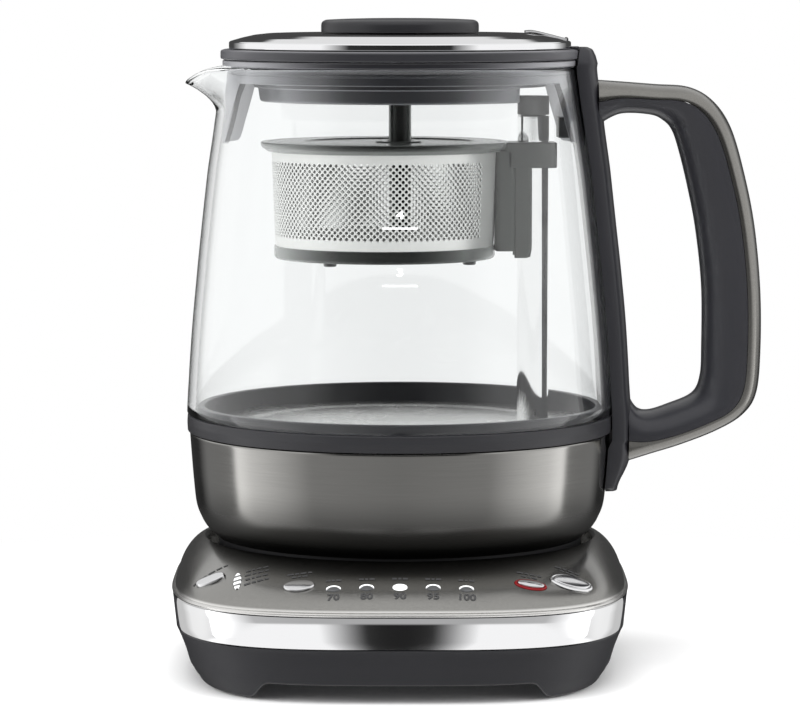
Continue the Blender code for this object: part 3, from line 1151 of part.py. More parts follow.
def lid_plug():
    """Stepped plug under the lid, cut straight beside the post, with its seal and centre stem."""
    seal_radius = PLUG_RADIUS + 3 * PLUG_STEP
    flange = seal_radius + PLUG_STEP
    seal_top = SEAL_Z + SEAL_HEIGHT + SEAT_GAP
    inside = PLUG_RADIUS - PLUG_WALL
    profile = [(0.0, PLUG_TOP_Z), (flange, PLUG_TOP_Z), (flange, seal_top), (seal_radius, seal_top)]
    for count, share in enumerate(PLUG_STEP_SHARES):
        z = PLUG_BOTTOM_Z + PLUG_STEP_HEIGHT * share
        profile += [(seal_radius - count * PLUG_STEP, z), (seal_radius - (count + 1) * PLUG_STEP, z)]
    profile += [(PLUG_RADIUS - PLUG_STEP / 2, PLUG_BOTTOM_Z), (inside, PLUG_BOTTOM_Z),
                (inside, PLUG_TOP_Z - PLUG_WALL), (0.0, PLUG_TOP_Z - PLUG_WALL)]
    plug = turned("lid_plug", profile, "grey_plastic")
    cut(plug, box("plug_side_cut", (PLUG_CUT_X, -flange, PLUG_BOTTOM_Z - OVERRUN),
                  (flange + OVERRUN, flange, PLUG_BOTTOM_Z + PLUG_CUT_HEIGHT)))
    reach = COLLAR_BORE_RADIUS - SEAT_GAP
    seal = [(reach, SEAL_Z + SEAL_HEIGHT), (reach, SEAL_Z), (seal_radius + SEAT_GAP, SEAL_Z),
            (seal_radius + SEAT_GAP, SEAL_Z + SEAL_HEIGHT)]
    turned("lid_seal", seal, "silicone")
    top = PLUG_TOP_Z - PLUG_WALL - SEAT_GAP
    stem = [(0.0, top), (STEM_FLANGE_RADIUS, top), (STEM_FLANGE_RADIUS, top - STEM_FLANGE),
            (STEM_RADIUS, top - STEM_FLANGE), (STEM_RADIUS, STEM_BOTTOM_Z), (0.0, STEM_BOTTOM_Z)]
    turned("lid_stem", stem, "charcoal_plastic", SMALL_FACETS)


# Lift and basket
def lift():
    """Polished post on the jug's floor, its cap, and the magnet carrier that runs inside it."""
    foot = HEATER_BOTTOM_Z + PLATE_THICKNESS + SEAT_GAP
    tube = [(POST_RADIUS, POST_TOP_Z), (POST_RADIUS, foot), (POST_BORE_RADIUS, foot),
            (POST_BORE_RADIUS, POST_TOP_Z)]
    turned("lift_post", tube, "polished_steel", SMALL_FACETS, POST_X)
    seat = POST_TOP_Z + SEAT_GAP
    plug = POST_BORE_RADIUS - SEAT_GAP
    cap = [(0.0, seat + POST_CAP_HEIGHT), (POST_RADIUS, seat + POST_CAP_HEIGHT), (POST_RADIUS, seat),
           (plug, seat), (plug, POST_TOP_Z - POST_CAP_PLUG), (0.0, POST_TOP_Z - POST_CAP_PLUG)]
    turned("post_cap", cap, "grey_plastic", SMALL_FACETS, POST_X)
    cylinder("magnet_carrier", POST_BORE_RADIUS - CARRIER_GAP, CARRIER_TOP_Z - CARRIER_LENGTH,
             CARRIER_TOP_Z, "brushed_steel", TINY_FACETS, POST_X)


def basket():
    """Steel cup, flared rim and base ring, with the lid that the stem opens."""
    low = CUP_RADIUS - CUP_TAPER
    floor_z = CUP_BOTTOM_Z + CUP_WALL
    cup = [(0.0, floor_z), (low - CUP_WALL, floor_z), (CUP_RADIUS - CUP_WALL, CUP_TOP_Z),
           (CUP_RADIUS, CUP_TOP_Z), (low, floor_z), (low - CUP_WALL, CUP_BOTTOM_Z), (0.0, CUP_BOTTOM_Z)]
    turned("basket_cup", cup, "brushed_steel", BASKET_FACETS, BASKET_X)
    neck = CUP_RADIUS + SEAT_GAP
    ledge = CUP_TOP_Z + SEAT_GAP
    rim = [(RIM_BORE_RADIUS, RIM_TOP_Z), (RIM_OUTER_RADIUS, RIM_TOP_Z),
           (RIM_OUTER_RADIUS - CUP_TAPER, RIM_TOP_Z - RIM_LIP),
           (neck + RIM_LIP / 2, RIM_NECK_Z + RIM_LIP / 3), (neck + CUP_WALL, RIM_NECK_Z),
           (neck, RIM_NECK_Z), (neck, ledge), (RIM_BORE_RADIUS, ledge)]
    turned("basket_rim", rim, "charcoal_plastic", BASKET_FACETS, BASKET_X)
    top = CUP_BOTTOM_Z - SEAT_GAP
    trim = [(TRIM_RADIUS, top), (TRIM_RADIUS - CUP_WALL, TRIM_BOTTOM_Z),
            (TRIM_RADIUS - TRIM_WIDTH, TRIM_BOTTOM_Z), (TRIM_RADIUS - TRIM_WIDTH, top)]
    turned("basket_base_ring", trim, "charcoal_plastic", BASKET_FACETS, BASKET_X)
    seat = ledge + SEAT_GAP
    lid_top_z = seat + BASKET_LID_THICKNESS
    cover = cylinder("basket_lid", RIM_BORE_RADIUS - SEAT_GAP, seat, lid_top_z, "charcoal_plastic",
                     BASKET_FACETS, BASKET_X)
    cut(cover, cylinder("stem_opening", STEM_RADIUS + 2 * RUNNING_GAP, seat - OVERRUN, lid_top_z + OVERRUN))


def basket_arm():
    """Arm on the basket's side: a clamp rides the post, two hooks reach round its foot."""
    arm = box("basket_arm", (BASKET_X + CUP_RADIUS + SEAT_GAP, -ARM_HALF_WIDTH, CUP_BOTTOM_Z + ARM_FOOT),
              (ARM_BLOCK_X, ARM_HALF_WIDTH, RIM_NECK_Z - SEAT_GAP), "charcoal_plastic")
    rim_edge = BASKET_X + RIM_OUTER_RADIUS + 2 * SEAT_GAP
    clamp_end = POST_X + POST_RADIUS + RUNNING_GAP + ARM_CLAMP_WALL
    fuse(arm, box("arm_clamp", (rim_edge, -ARM_HALF_WIDTH, ARM_CLAMP_BOTTOM_Z),
                  (clamp_end, ARM_HALF_WIDTH, ARM_TOP_Z)))
    inner = ARM_HALF_WIDTH - HOOK_WIDTH
    for name, low, high in (("arm_hook_1", -ARM_HALF_WIDTH, -inner), ("arm_hook_2", inner, ARM_HALF_WIDTH)):
        fuse(arm, box(name, (ARM_BLOCK_X - CUP_WALL, low, HOOK_BOTTOM_Z),
                      (POST_X - HOOK_WIDTH / 2, high, ARM_CLAMP_BOTTOM_Z + CUP_WALL)))
    cut(arm, cylinder("arm_post_bore", POST_RADIUS + RUNNING_GAP, HOOK_BOTTOM_Z - OVERRUN,
                      ARM_TOP_Z + OVERRUN, x=POST_X))


def clear_scene():
    for old in list(bpy.data.objects):
        bpy.data.objects.remove(old, do_unlink=True)


def main():
    clear_scene()
    for name in (PARTS, CUTTERS):
        group = bpy.data.collections.new(name)
        bpy.context.scene.collection.children.link(group)
    axis = bpy.data.objects.new("jug_axis", None)
    bpy.context.scene.collection.objects.link(axis)
    axis.location = ((BASE_HALF_WIDTH - HANDLE_REACH) / 2, (BASE_FRONT - BASE_BACK) / 2, 0.0)
    base_housing()
    front_band()
    base_cover()
    button("strength_button", STRENGTH_PLACE, STRENGTH_OVAL)
    button("select_button", SELECT_PLACE, SELECT_OVAL)
    button("keep_warm_button", KEEP_WARM_PLACE, KEEP_WARM_OVAL, HALO_WIDTH)
    button("start_button", START_PLACE, START_OVAL, BEZEL_WIDTH)
    panel_ring("keep_warm_halo", KEEP_WARM_PLACE, KEEP_WARM_OVAL, HALO_WIDTH, "red_lens")
    panel_ring("start_bezel", START_PLACE, START_OVAL, BEZEL_WIDTH, "polished_steel")
    push_switch("strength_switch", STRENGTH_PLACE)
    push_switch("select_switch", SELECT_PLACE)
    push_switch("keep_warm_switch", KEEP_WARM_PLACE)
    push_switch("start_switch", START_PLACE)
    lamp_strip("tea_lamps", tea_lamp_places(), TEA_LAMP_RADIUS)
    strip = [(*STRENGTH_LAMPS_OVAL, -LAMP_DEPTH), (*STRENGTH_LAMPS_OVAL, 0.0)]
    window = oval_stack("strength_lamps", strip, "lamp_lens")
    window.matrix_local = panel_frame(STRENGTH_LAMPS_PLACE)
    crescent_board()
    power_electronics()
    cord_gland()
    base_connector()
    jug_seat()
    feet_and_screws()
    glass_vessel()
    jug_collar()
    jug_band()
    jug_shell()
    jug_base_cover()
    jug_socket()
    heater()
    handle_strap()
    handle()
    lid_top()
    lid_plug()
    lift()
    basket()
    basket_arm()


main()
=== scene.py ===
"""Looks of the automatic tea maker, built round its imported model.

Metres, +Z up, spout towards -X, handle towards +X, control panel towards -Y. Each section below is one
piece or a group of like pieces, in the order in which the tea maker goes together.
"""
import math

import bmesh
import bpy
from mathutils import Matrix, Vector


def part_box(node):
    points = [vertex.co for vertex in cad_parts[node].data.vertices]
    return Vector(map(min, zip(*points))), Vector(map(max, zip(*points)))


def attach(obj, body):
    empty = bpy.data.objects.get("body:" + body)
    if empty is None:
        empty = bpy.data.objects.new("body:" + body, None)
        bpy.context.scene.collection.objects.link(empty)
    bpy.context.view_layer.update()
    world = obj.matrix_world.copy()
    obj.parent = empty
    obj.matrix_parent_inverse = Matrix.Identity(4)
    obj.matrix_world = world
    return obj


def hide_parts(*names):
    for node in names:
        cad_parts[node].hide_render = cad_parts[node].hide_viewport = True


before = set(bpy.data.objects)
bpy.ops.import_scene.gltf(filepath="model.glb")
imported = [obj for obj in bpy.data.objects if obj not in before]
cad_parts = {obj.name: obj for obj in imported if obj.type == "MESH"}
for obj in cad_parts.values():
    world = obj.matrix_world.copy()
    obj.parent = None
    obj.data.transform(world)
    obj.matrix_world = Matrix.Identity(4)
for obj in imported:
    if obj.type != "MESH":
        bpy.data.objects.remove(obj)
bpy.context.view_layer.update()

# Studio: a pale table under soft light from above and from both sides, seen from just above the lid.
# The table fades to pure white away from the tea maker and keeps its shadow. Polished pieces see bright
# side walls, the dim room behind the camera and dark screens at the back, but not the softboxes.
seat_low, seat_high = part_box("jug_seat")
JUG_AXIS = Vector(((seat_low.x + seat_high.x) / 2, (seat_low.y + seat_high.y) / 2, 0.0))
CAMERA_DISTANCE = 1.390
CAMERA_HEIGHT = 0.2441
CAMERA_TILT = math.radians(84.414)
CAMERA_LENS = 176.2
SENSOR_WIDTH = 36.0
TABLE_RADIUS = 6.0
TABLE_SHADE_END = 0.34       # beyond this the table is plain white
TABLE_SHADE_START = 0.15
TABLE_COLOUR = (0.93, 0.93, 0.93, 1.0)
AMBIENT = 0.62

camera = bpy.data.objects.new("camera", bpy.data.cameras.new("camera"))
bpy.context.scene.collection.objects.link(camera)
camera.location = JUG_AXIS + Vector((0.0, -CAMERA_DISTANCE, CAMERA_HEIGHT))
camera.rotation_euler.x = CAMERA_TILT
camera.data.lens = CAMERA_LENS
camera.data.sensor_width = SENSOR_WIDTH
bpy.context.scene.camera = camera
bpy.context.scene.view_settings.view_transform = "Standard"


def feed(tree, sockets, values):
    """Sets sockets in turn, each from a number, a colour or another socket."""
    for socket, value in zip(sockets, values):
        if isinstance(value, bpy.types.NodeSocket):
            tree.links.new(value, socket)
        else:
            socket.default_value = value


def maths(tree, operation, *values):
    """A Math node; each value is a number or a socket."""
    made = tree.nodes.new("ShaderNodeMath")
    made.operation = operation
    feed(tree, made.inputs, values)
    return made.outputs["Value"]


def smooth_range(tree, value, start, end, low=0.0, high=1.0):
    """A smooth step of a value from one level to another."""
    made = tree.nodes.new("ShaderNodeMapRange")
    made.interpolation_type = "SMOOTHSTEP"
    tree.links.new(value, made.inputs["Value"])
    for label, number in (("From Min", start), ("From Max", end), ("To Min", low), ("To Max", high)):
        made.inputs[label].default_value = number
    return made.outputs["Result"]


def ramp(tree, value, stops):
    """A grey ramp of (place, level) stops."""
    made = tree.nodes.new("ShaderNodeValToRGB")
    tree.links.new(value, made.inputs["Fac"])
    elements = made.color_ramp.elements
    while len(elements) < len(stops):
        elements.new(0.5)
    for element, (place, level) in zip(elements, stops):
        element.position = place
        element.color = (level, level, level, 1.0)
    return made.outputs["Color"]


def colour_mix(tree, factor, first, second):
    """A colour between two others; a Mix node's colour sockets are its inputs 6 and 7."""
    made = tree.nodes.new("ShaderNodeMix")
    made.data_type = "RGBA"
    feed(tree, (made.inputs[0], made.inputs[6], made.inputs[7]), (factor, first, second))
    return made.outputs[2]


def object_place(tree):
    """The place of a shaded point on its own piece."""
    return tree.nodes.new("ShaderNodeTexCoord").outputs["Object"]


def mix_surfaces(tree, factor, first, second):
    """Gives a material a surface between two others."""
    both = tree.nodes.new("ShaderNodeMixShader")
    feed(tree, both.inputs, (factor, first, second))
    tree.links.new(both.outputs["Shader"], tree.nodes["Material Output"].inputs["Surface"])


world = bpy.data.worlds.new("studio")
bpy.context.scene.world = world
world.use_nodes = True
room = world.node_tree
background = room.nodes["Background"]
place = room.nodes.new("ShaderNodeTexCoord")
parts = room.nodes.new("ShaderNodeSeparateXYZ")
room.links.new(place.outputs["Generated"], parts.inputs["Vector"])
sideways = maths(room, "ABSOLUTE", parts.outputs["X"])
towards_camera = maths(room, "MULTIPLY", parts.outputs["Y"], -1.0)
# 0 is the camera's side of the room and 1 the wall behind the tea maker
turn = maths(room, "DIVIDE", maths(room, "ARCTAN2", sideways, towards_camera), math.pi)
height = parts.outputs["Z"]
level_walls = ramp(room, turn, ((0.0, 0.02), (0.19, 0.03), (0.30, 1.0), (0.70, 1.0), (0.78, 0.35),
                                (0.84, 0.06), (1.0, 0.06)))
low_walls = ramp(room, turn, ((0.0, 0.42), (0.28, 0.50), (0.50, 1.50), (0.565, 2.20), (0.585, 0.42),
                              (0.74, 0.36), (0.81, 0.04), (1.0, 0.04)))
table_top = ramp(room, turn, ((0.0, 0.015), (0.012, 0.03), (0.040, 0.50), (0.075, 1.0), (1.0, 1.0)))
ceiling = ramp(room, turn, ((0.0, 0.95), (0.6, 0.95), (1.0, 0.78)))
walls = colour_mix(room, smooth_range(room, height, -0.12, -0.03), low_walls, level_walls)
walls = colour_mix(room, smooth_range(room, height, -0.62, -0.52, 1.0, 0.0), walls, table_top)
seen_in_gloss = colour_mix(room, smooth_range(room, height, 0.31, 0.37), walls, ceiling)
seen_in_glass = ramp(room, turn, ((0.0, 0.03), (0.06, 0.05), (0.16, 0.35), (0.30, 0.75), (0.45, 1.0),
                                  (0.84, 1.0), (1.0, 1.0)))
path = room.nodes.new("ShaderNodeLightPath")
light = colour_mix(room, path.outputs["Is Glossy Ray"], (AMBIENT, AMBIENT, AMBIENT, 1.0), seen_in_gloss)
light = colour_mix(room, path.outputs["Is Transmission Ray"], light, seen_in_glass)
light = colour_mix(room, path.outputs["Is Camera Ray"], light, (1.0, 1.0, 1.0, 1.0))
room.links.new(light, background.inputs["Color"])

for name, spot, size, power in (("softbox_top", (0.0, -0.25, 1.30), 1.1, 17.0),
                                ("softbox_left", (-1.25, -0.55, 0.65), 0.9, 15.0),
                                ("softbox_right", (1.25, -0.55, 0.65), 0.9, 11.0)):
    lamp = bpy.data.lights.new(name, "AREA")
    lamp.size = size
    lamp.energy = power
    holder = bpy.data.objects.new(name, lamp)
    bpy.context.scene.collection.objects.link(holder)
    holder.location = JUG_AXIS + Vector(spot)
    aim = JUG_AXIS + Vector((0.0, 0.0, 0.1)) - holder.location
    holder.rotation_euler = aim.to_track_quat("-Z", "Y").to_euler()
    holder.visible_glossy = False
    holder.visible_transmission = False

table_mesh = bpy.data.meshes.new("table")
shape = bmesh.new()
bmesh.ops.create_circle(shape, cap_ends=True, radius=TABLE_RADIUS, segments=96)
shape.to_mesh(table_mesh)
shape.free()
table = bpy.data.objects.new("table", table_mesh)
bpy.context.scene.collection.objects.link(table)
table.location = JUG_AXIS
table.visible_glossy = False
table_finish = bpy.data.materials.new("table_white")
table_finish.use_nodes = True
tree = table_finish.node_tree
shader = tree.nodes["Principled BSDF"]
shader.inputs["Base Color"].default_value = TABLE_COLOUR
shader.inputs["Roughness"].default_value = 0.9
shader.inputs["Specular IOR Level"].default_value = 0.0
glow = tree.nodes.new("ShaderNodeEmission")
reach = tree.nodes.new("ShaderNodeVectorMath")
reach.operation = "LENGTH"
tree.links.new(object_place(tree), reach.inputs[0])
fade = smooth_range(tree, reach.outputs["Value"], TABLE_SHADE_START, TABLE_SHADE_END)
path = tree.nodes.new("ShaderNodeLightPath")
seen = maths(tree, "MAXIMUM", path.outputs["Is Camera Ray"], path.outputs["Is Transmission Ray"])
mix_surfaces(tree, maths(tree, "MULTIPLY", fade, seen), shader.outputs["BSDF"], glow.outputs["Emission"])
table_mesh.materials.append(table_finish)


# Power base housing: a charcoal tray moulded in one piece with four corner legs.
# Its plan is a rounded square. Behind the metal band its wall steps in, and between the legs the edge
# of the skirt rises, so that it stands clear of the table.
cover_low, cover_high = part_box("base_cover")
band_low, band_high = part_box("front_band")
BASE_HALF_WIDTH = (cover_high.x - cover_low.x) / 2
BASE_FRONT = JUG_AXIS.y - cover_low.y
BASE_BACK = cover_high.y - JUG_AXIS.y
CORNER_POWER = 3.38
OUTLINE_STEPS = 320
BAND_BOTTOM_Z, BAND_TOP_Z = band_low.z, band_high.z
BAND_END_ANGLE = math.radians(33)
BAND_THICKNESS = 0.0014
LEG_FOOT_Z = 0.0007
# heights with their insets from the outline, at the front and back and at the sides
SKIRT_CURVE = ((BAND_TOP_Z, Vector((0.0019, 0.0002))), (0.0190, Vector((0.0055, 0.0014))),
               (0.0125, Vector((0.0062, 0.0040))), (0.0064, Vector((0.0070, 0.0059))),
               (0.0036, Vector((0.0078, 0.0076))), (LEG_FOOT_Z, Vector((0.0085, 0.0096))))
WALL_BEHIND_BAND = BAND_THICKNESS + 0.0003
ARCH_Z = 0.0064              # underside between the legs
LEG_INNER_X = 0.0450
LEG_INNER_Y = 0.0340
LEG_SLOPE = 0.0080
HOUSING_WALL = 0.0024
HOUSING_INSIDE_Z = 0.0088
STEP_GAP = 0.0003            # step under the band's lower edge
EDGE_ROUND, ROUND_STRETCH = 0.0009, 1.2
SKIRT_ROWS, UNDER_ROWS = 14, 44
SHARP_ANGLE = math.radians(38)


def evenly(inset):
    """The same inset at the front and back and at the sides."""
    return Vector((inset, inset))


def base_radius(angle, inset=evenly(0.0)):
    """Distance from the jug's axis to the base's outline, moved in by an inset."""
    depth = (BASE_FRONT if math.sin(angle) < 0 else BASE_BACK) - inset.x
    across = abs(math.cos(angle) / (BASE_HALF_WIDTH - inset.y)) ** CORNER_POWER
    along = abs(math.sin(angle) / depth) ** CORNER_POWER
    return (across + along) ** (-1 / CORNER_POWER)


def base_point(angle, inset, z):
    """A point on the base's outline, moved in by an inset."""
    radius = base_radius(angle, inset)
    return (radius * math.cos(angle), radius * math.sin(angle), z)


def between(before, here, after, beyond, t):
    """A smooth curve from here to after, at a share t of the way; values or vectors."""
    return 0.5 * (2 * here + (after - before) * t + (2 * before - 5 * here + 4 * after - beyond) * t ** 2
                  + (3 * here - before - 3 * after + beyond) * t ** 3)


def read_curve(pairs, place):
    """Value of a smooth curve through (place, value) pairs, whose places run down or up."""
    ordered = sorted(pairs)
    last = len(ordered) - 1
    place = min(max(place, ordered[0][0]), ordered[last][0])
    span = next(i for i in range(last) if place <= ordered[i + 1][0])
    before, here, after, beyond = (ordered[max(0, min(last, span + step))][1] for step in (-1, 0, 1, 2))
    t = (place - ordered[span][0]) / (ordered[span + 1][0] - ordered[span][0])
    return between(before, here, after, beyond, t)


def eased(value, start, end):
    """Smooth step from 0 to 1."""
    t = min(1.0, max(0.0, (value - start) / (end - start)))
    return t * t * (3 - 2 * t)


def placed_piece(name, mesh):
    """A mesh as a piece whose own centre line is the jug's axis."""
    piece = bpy.data.objects.new(name, mesh)
    bpy.context.scene.collection.objects.link(piece)
    piece.location = JUG_AXIS
    return piece


def skin(name, rings, closed=False, caps=True):
    """A smooth skin over like rings of points, capped at both ends or closed into a tunnel."""
    mesh = bpy.data.meshes.new(name)
    shape = bmesh.new()
    rows = [[shape.verts.new(point) for point in ring] for ring in rings]
    pairs = list(zip(rows, rows[1:]))
    if closed:
        pairs.append((rows[-1], rows[0]))
    elif caps:
        shape.faces.new(rows[0][::-1])
        shape.faces.new(rows[-1])
    for low, high in pairs:
        for here in range(len(low)):
            after = (here + 1) % len(low)
            shape.faces.new((low[here], low[after], high[after], high[here]))
    bmesh.ops.remove_doubles(shape, verts=shape.verts, dist=0.000002)
    bmesh.ops.recalc_face_normals(shape, faces=shape.faces)
    shape.to_mesh(mesh)
    shape.free()
    mesh.shade_smooth()
    mesh.set_sharp_from_angle(angle=SHARP_ANGLE)
    return placed_piece(name, mesh)


def even_shading(piece):
    """Flat faces keep their own shading beside small rounded edges."""
    even = piece.modifiers.new("even_shading", "WEIGHTED_NORMAL")
    even.weight = 100
    even.keep_sharp = True
    return piece


def fit(piece, finish, body, slot, *nodes):
    """Gives a piece its finish, the body that it moves with and the solids that it stands for."""
    piece.data.materials.clear()
    piece.data.materials.append(finish)
    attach(piece, body)
    if nodes:
        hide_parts(*nodes)


def new_finish(name, **sockets):
    """A material, its node tree and its shader with the shader's own sockets set."""
    made = bpy.data.materials.new(name)
    made.use_nodes = True
    shader = made.node_tree.nodes["Principled BSDF"]
    for label, value in sockets.items():
        shader.inputs[label.replace("_", " ")].default_value = value
    return made, made.node_tree, shader


def new_group(name, inputs, outputs):
    """A shader node group with (label, kind, value) inputs and (label, kind) outputs."""
    group = bpy.data.node_groups.new(name, "ShaderNodeTree")
    for label, kind, value in inputs:
        socket = group.interface.new_socket(label, in_out="INPUT", socket_type=kind)
        socket.default_value = value
    for label, kind in outputs:
        group.interface.new_socket(label, in_out="OUTPUT", socket_type=kind)
    return group, group.nodes.new("NodeGroupInput").outputs, group.nodes.new("NodeGroupOutput").inputs


def place_group(tree, group, **values):
    """A node group in a material, with its inputs set."""
    made = tree.nodes.new("ShaderNodeGroup")
    made.node_tree = group
    for label, value in values.items():
        made.inputs[label.replace("_", " ").capitalize()].default_value = value
    return made.outputs


def noise(tree, scale, detail=2.0, distortion=0.0):
    """A Noise texture over the piece; its scale is a number or a socket."""
    made = tree.nodes.new("ShaderNodeTexNoise")
    labels = ("Vector", "Scale", "Detail", "Distortion")
    feed(tree, [made.inputs[label] for label in labels], (object_place(tree), scale, detail, distortion))
    return made.outputs["Fac"]


def wavering(tree, value, drift, amount):
    """A value that a drift, which runs from 0 to 1, carries up and down by half an amount."""
    return maths(tree, "ADD", value, maths(tree, "MULTIPLY", maths(tree, "SUBTRACT", drift, 0.5), amount))


def varied(tree, colour, brightness):
    """A colour with its brightness multiplied."""
    shade = tree.nodes.new("ShaderNodeHueSaturation")
    feed(tree, (shade.inputs["Color"], shade.inputs["Value"]), (colour, brightness))
    return shade.outputs["Color"]


def relief(tree, shader, height, strength, depth):
    """A fine relief under a shader's normal."""
    bump = tree.nodes.new("ShaderNodeBump")
    bump.inputs["Strength"].default_value = strength
    bump.inputs["Distance"].default_value = depth
    tree.links.new(height, bump.inputs["Height"])
    tree.links.new(bump.outputs["Normal"], shader.inputs["Normal"])


# moulded texture: fine spark-eroded grain and slight clouding, used by every plastic and rubber
grain, given, out = new_group(
    "moulded_grain",
    (("Colour", "NodeSocketColor", (0.05, 0.05, 0.05, 1.0)), ("Pitch", "NodeSocketFloat", 0.0004),
     ("Clouding", "NodeSocketFloat", 0.08), ("Roughness", "NodeSocketFloat", 0.4),
     ("Spread", "NodeSocketFloat", 0.08)),
    (("Colour", "NodeSocketColor"), ("Roughness", "NodeSocketFloat"), ("Height", "NodeSocketFloat")))
fine = noise(grain, maths(grain, "DIVIDE", 1.0, given["Pitch"]), 3.0)
cloud = noise(grain, 38.0, 4.0)
clouded = wavering(grain, 1.0, cloud, given["Clouding"])
speckled = wavering(grain, clouded, fine, maths(grain, "MULTIPLY", given["Clouding"], 1.5))
grain.links.new(varied(grain, given["Colour"], speckled), out["Colour"])
grain.links.new(wavering(grain, given["Roughness"], cloud, given["Spread"]), out["Roughness"])
grain.links.new(fine, out["Height"])


def moulded(name, colour, roughness, pitch=0.0004, clouding=0.10, depth=0.00002, spread=0.10, **sockets):
    """A moulded plastic or rubber."""
    made, tree, shader = new_finish(name, **sockets)
    texture = place_group(tree, grain, colour=(*colour, 1.0), pitch=pitch, clouding=clouding,
                          roughness=roughness, spread=spread)
    tree.links.new(texture["Colour"], shader.inputs["Base Color"])
    tree.links.new(texture["Roughness"], shader.inputs["Roughness"])
    relief(tree, shader, texture["Height"], 0.35, depth)
    return made


def underside_z(x, y):
    """Height of the tray's underside: four legs at the corners."""
    leg_across = eased(abs(x), LEG_INNER_X, LEG_INNER_X + LEG_SLOPE)
    leg_along = eased(abs(y), LEG_INNER_Y, LEG_INNER_Y + LEG_SLOPE)
    return ARCH_Z + (LEG_FOOT_Z - ARCH_Z) * (leg_across * leg_along)


step_z = BAND_BOTTOM_Z - STEP_GAP
columns = []
for index in range(OUTLINE_STEPS):
    angle = math.tau * index / OUTLINE_STEPS
    behind = evenly(WALL_BEHIND_BAND if math.sin(angle) < -math.sin(BAND_END_ANGLE) else 0.0)
    wall = SKIRT_CURVE[1][1] + evenly(HOUSING_WALL + WALL_BEHIND_BAND)
    column = [base_point(angle, wall, HOUSING_INSIDE_Z), base_point(angle, wall, BAND_TOP_Z),
              base_point(angle, SKIRT_CURVE[0][1] + behind, BAND_TOP_Z),
              base_point(angle, SKIRT_CURVE[1][1] + behind, step_z),
              base_point(angle, SKIRT_CURVE[1][1] + evenly(0.0002), step_z - 0.00002),
              base_point(angle, SKIRT_CURVE[1][1], step_z - 0.0002)]
    rim_x, rim_y, _ = base_point(angle, SKIRT_CURVE[3][1], 0.0)
    bottom = underside_z(rim_x, rim_y)
    for row in range(1, SKIRT_ROWS + 1):
        z = step_z + (bottom + EDGE_ROUND - step_z) * row / SKIRT_ROWS
        column.append(base_point(angle, read_curve(SKIRT_CURVE, z), z))
    low_inset = read_curve(SKIRT_CURVE, bottom + EDGE_ROUND)
    for share in (0.25, 0.5, 0.75, 1.0):
        a = share * math.pi / 2
        inset = low_inset + evenly(EDGE_ROUND * (1 - math.cos(a)) * ROUND_STRETCH)
        column.append(base_point(angle, inset, bottom + EDGE_ROUND * (1 - math.sin(a))))
    for row in range(1, UNDER_ROWS):
        radius = base_radius(angle, low_inset + evenly(ROUND_STRETCH * EDGE_ROUND)) * (1 - row / UNDER_ROWS)
        x, y = radius * math.cos(angle), radius * math.sin(angle)
        column.append((x, y, underside_z(x, y)))
    columns.append(column)
housing = skin("base_housing_shell", [list(ring) for ring in zip(*columns)])
housing_black = moulded("housing_charcoal", (0.018, 0.018, 0.0205), 0.46, pitch=0.00045, depth=0.00004,
                        Specular_IOR_Level=0.28)
fit(even_shading(housing), housing_black, "power_base", "housing_plastic", "base_housing")


# Front band: a polished stainless strip, bent round the front from corner to corner and clipped into
# the housing's step. Its face is crowned a little and its long edges are broken.
BAND_CROWN = 0.00018
BAND_EDGE = 0.00025
steel_smudge, given, out = new_group(
    "steel_smudge", (("Roughness", "NodeSocketFloat", 0.05), ("Spread", "NodeSocketFloat", 0.05)),
    (("Roughness", "NodeSocketFloat"), ("Height", "NodeSocketFloat")))
cloud = noise(steel_smudge, 55.0, 6.0, 0.6)
smudges = smooth_range(steel_smudge, cloud, 0.45, 0.75)
wander = maths(steel_smudge, "MULTIPLY", smudges, given["Spread"])
steel_smudge.links.new(maths(steel_smudge, "ADD", given["Roughness"], wander), out["Roughness"])
steel_smudge.links.new(cloud, out["Height"])


def polished(name, colour, roughness, spread=0.05, **sockets):
    """A polished metal with the faint haze that handling leaves."""
    made, tree, shader = new_finish(name, Base_Color=(*colour, 1.0), Metallic=1.0, **sockets)
    haze = place_group(tree, steel_smudge, roughness=roughness, spread=spread)
    tree.links.new(haze["Roughness"], shader.inputs["Roughness"])
    relief(tree, shader, haze["Height"], 0.02, 0.0002)
    return made


def opened(finish):
    """The node tree and the shader of a finish that gets more than its maker gave it."""
    return finish.node_tree, finish.node_tree.nodes["Principled BSDF"]


def object_axes(tree):
    """The X, Y and Z of a shaded point on its own piece."""
    axes = tree.nodes.new("ShaderNodeSeparateXYZ")
    tree.links.new(object_place(tree), axes.inputs["Vector"])
    return axes.outputs


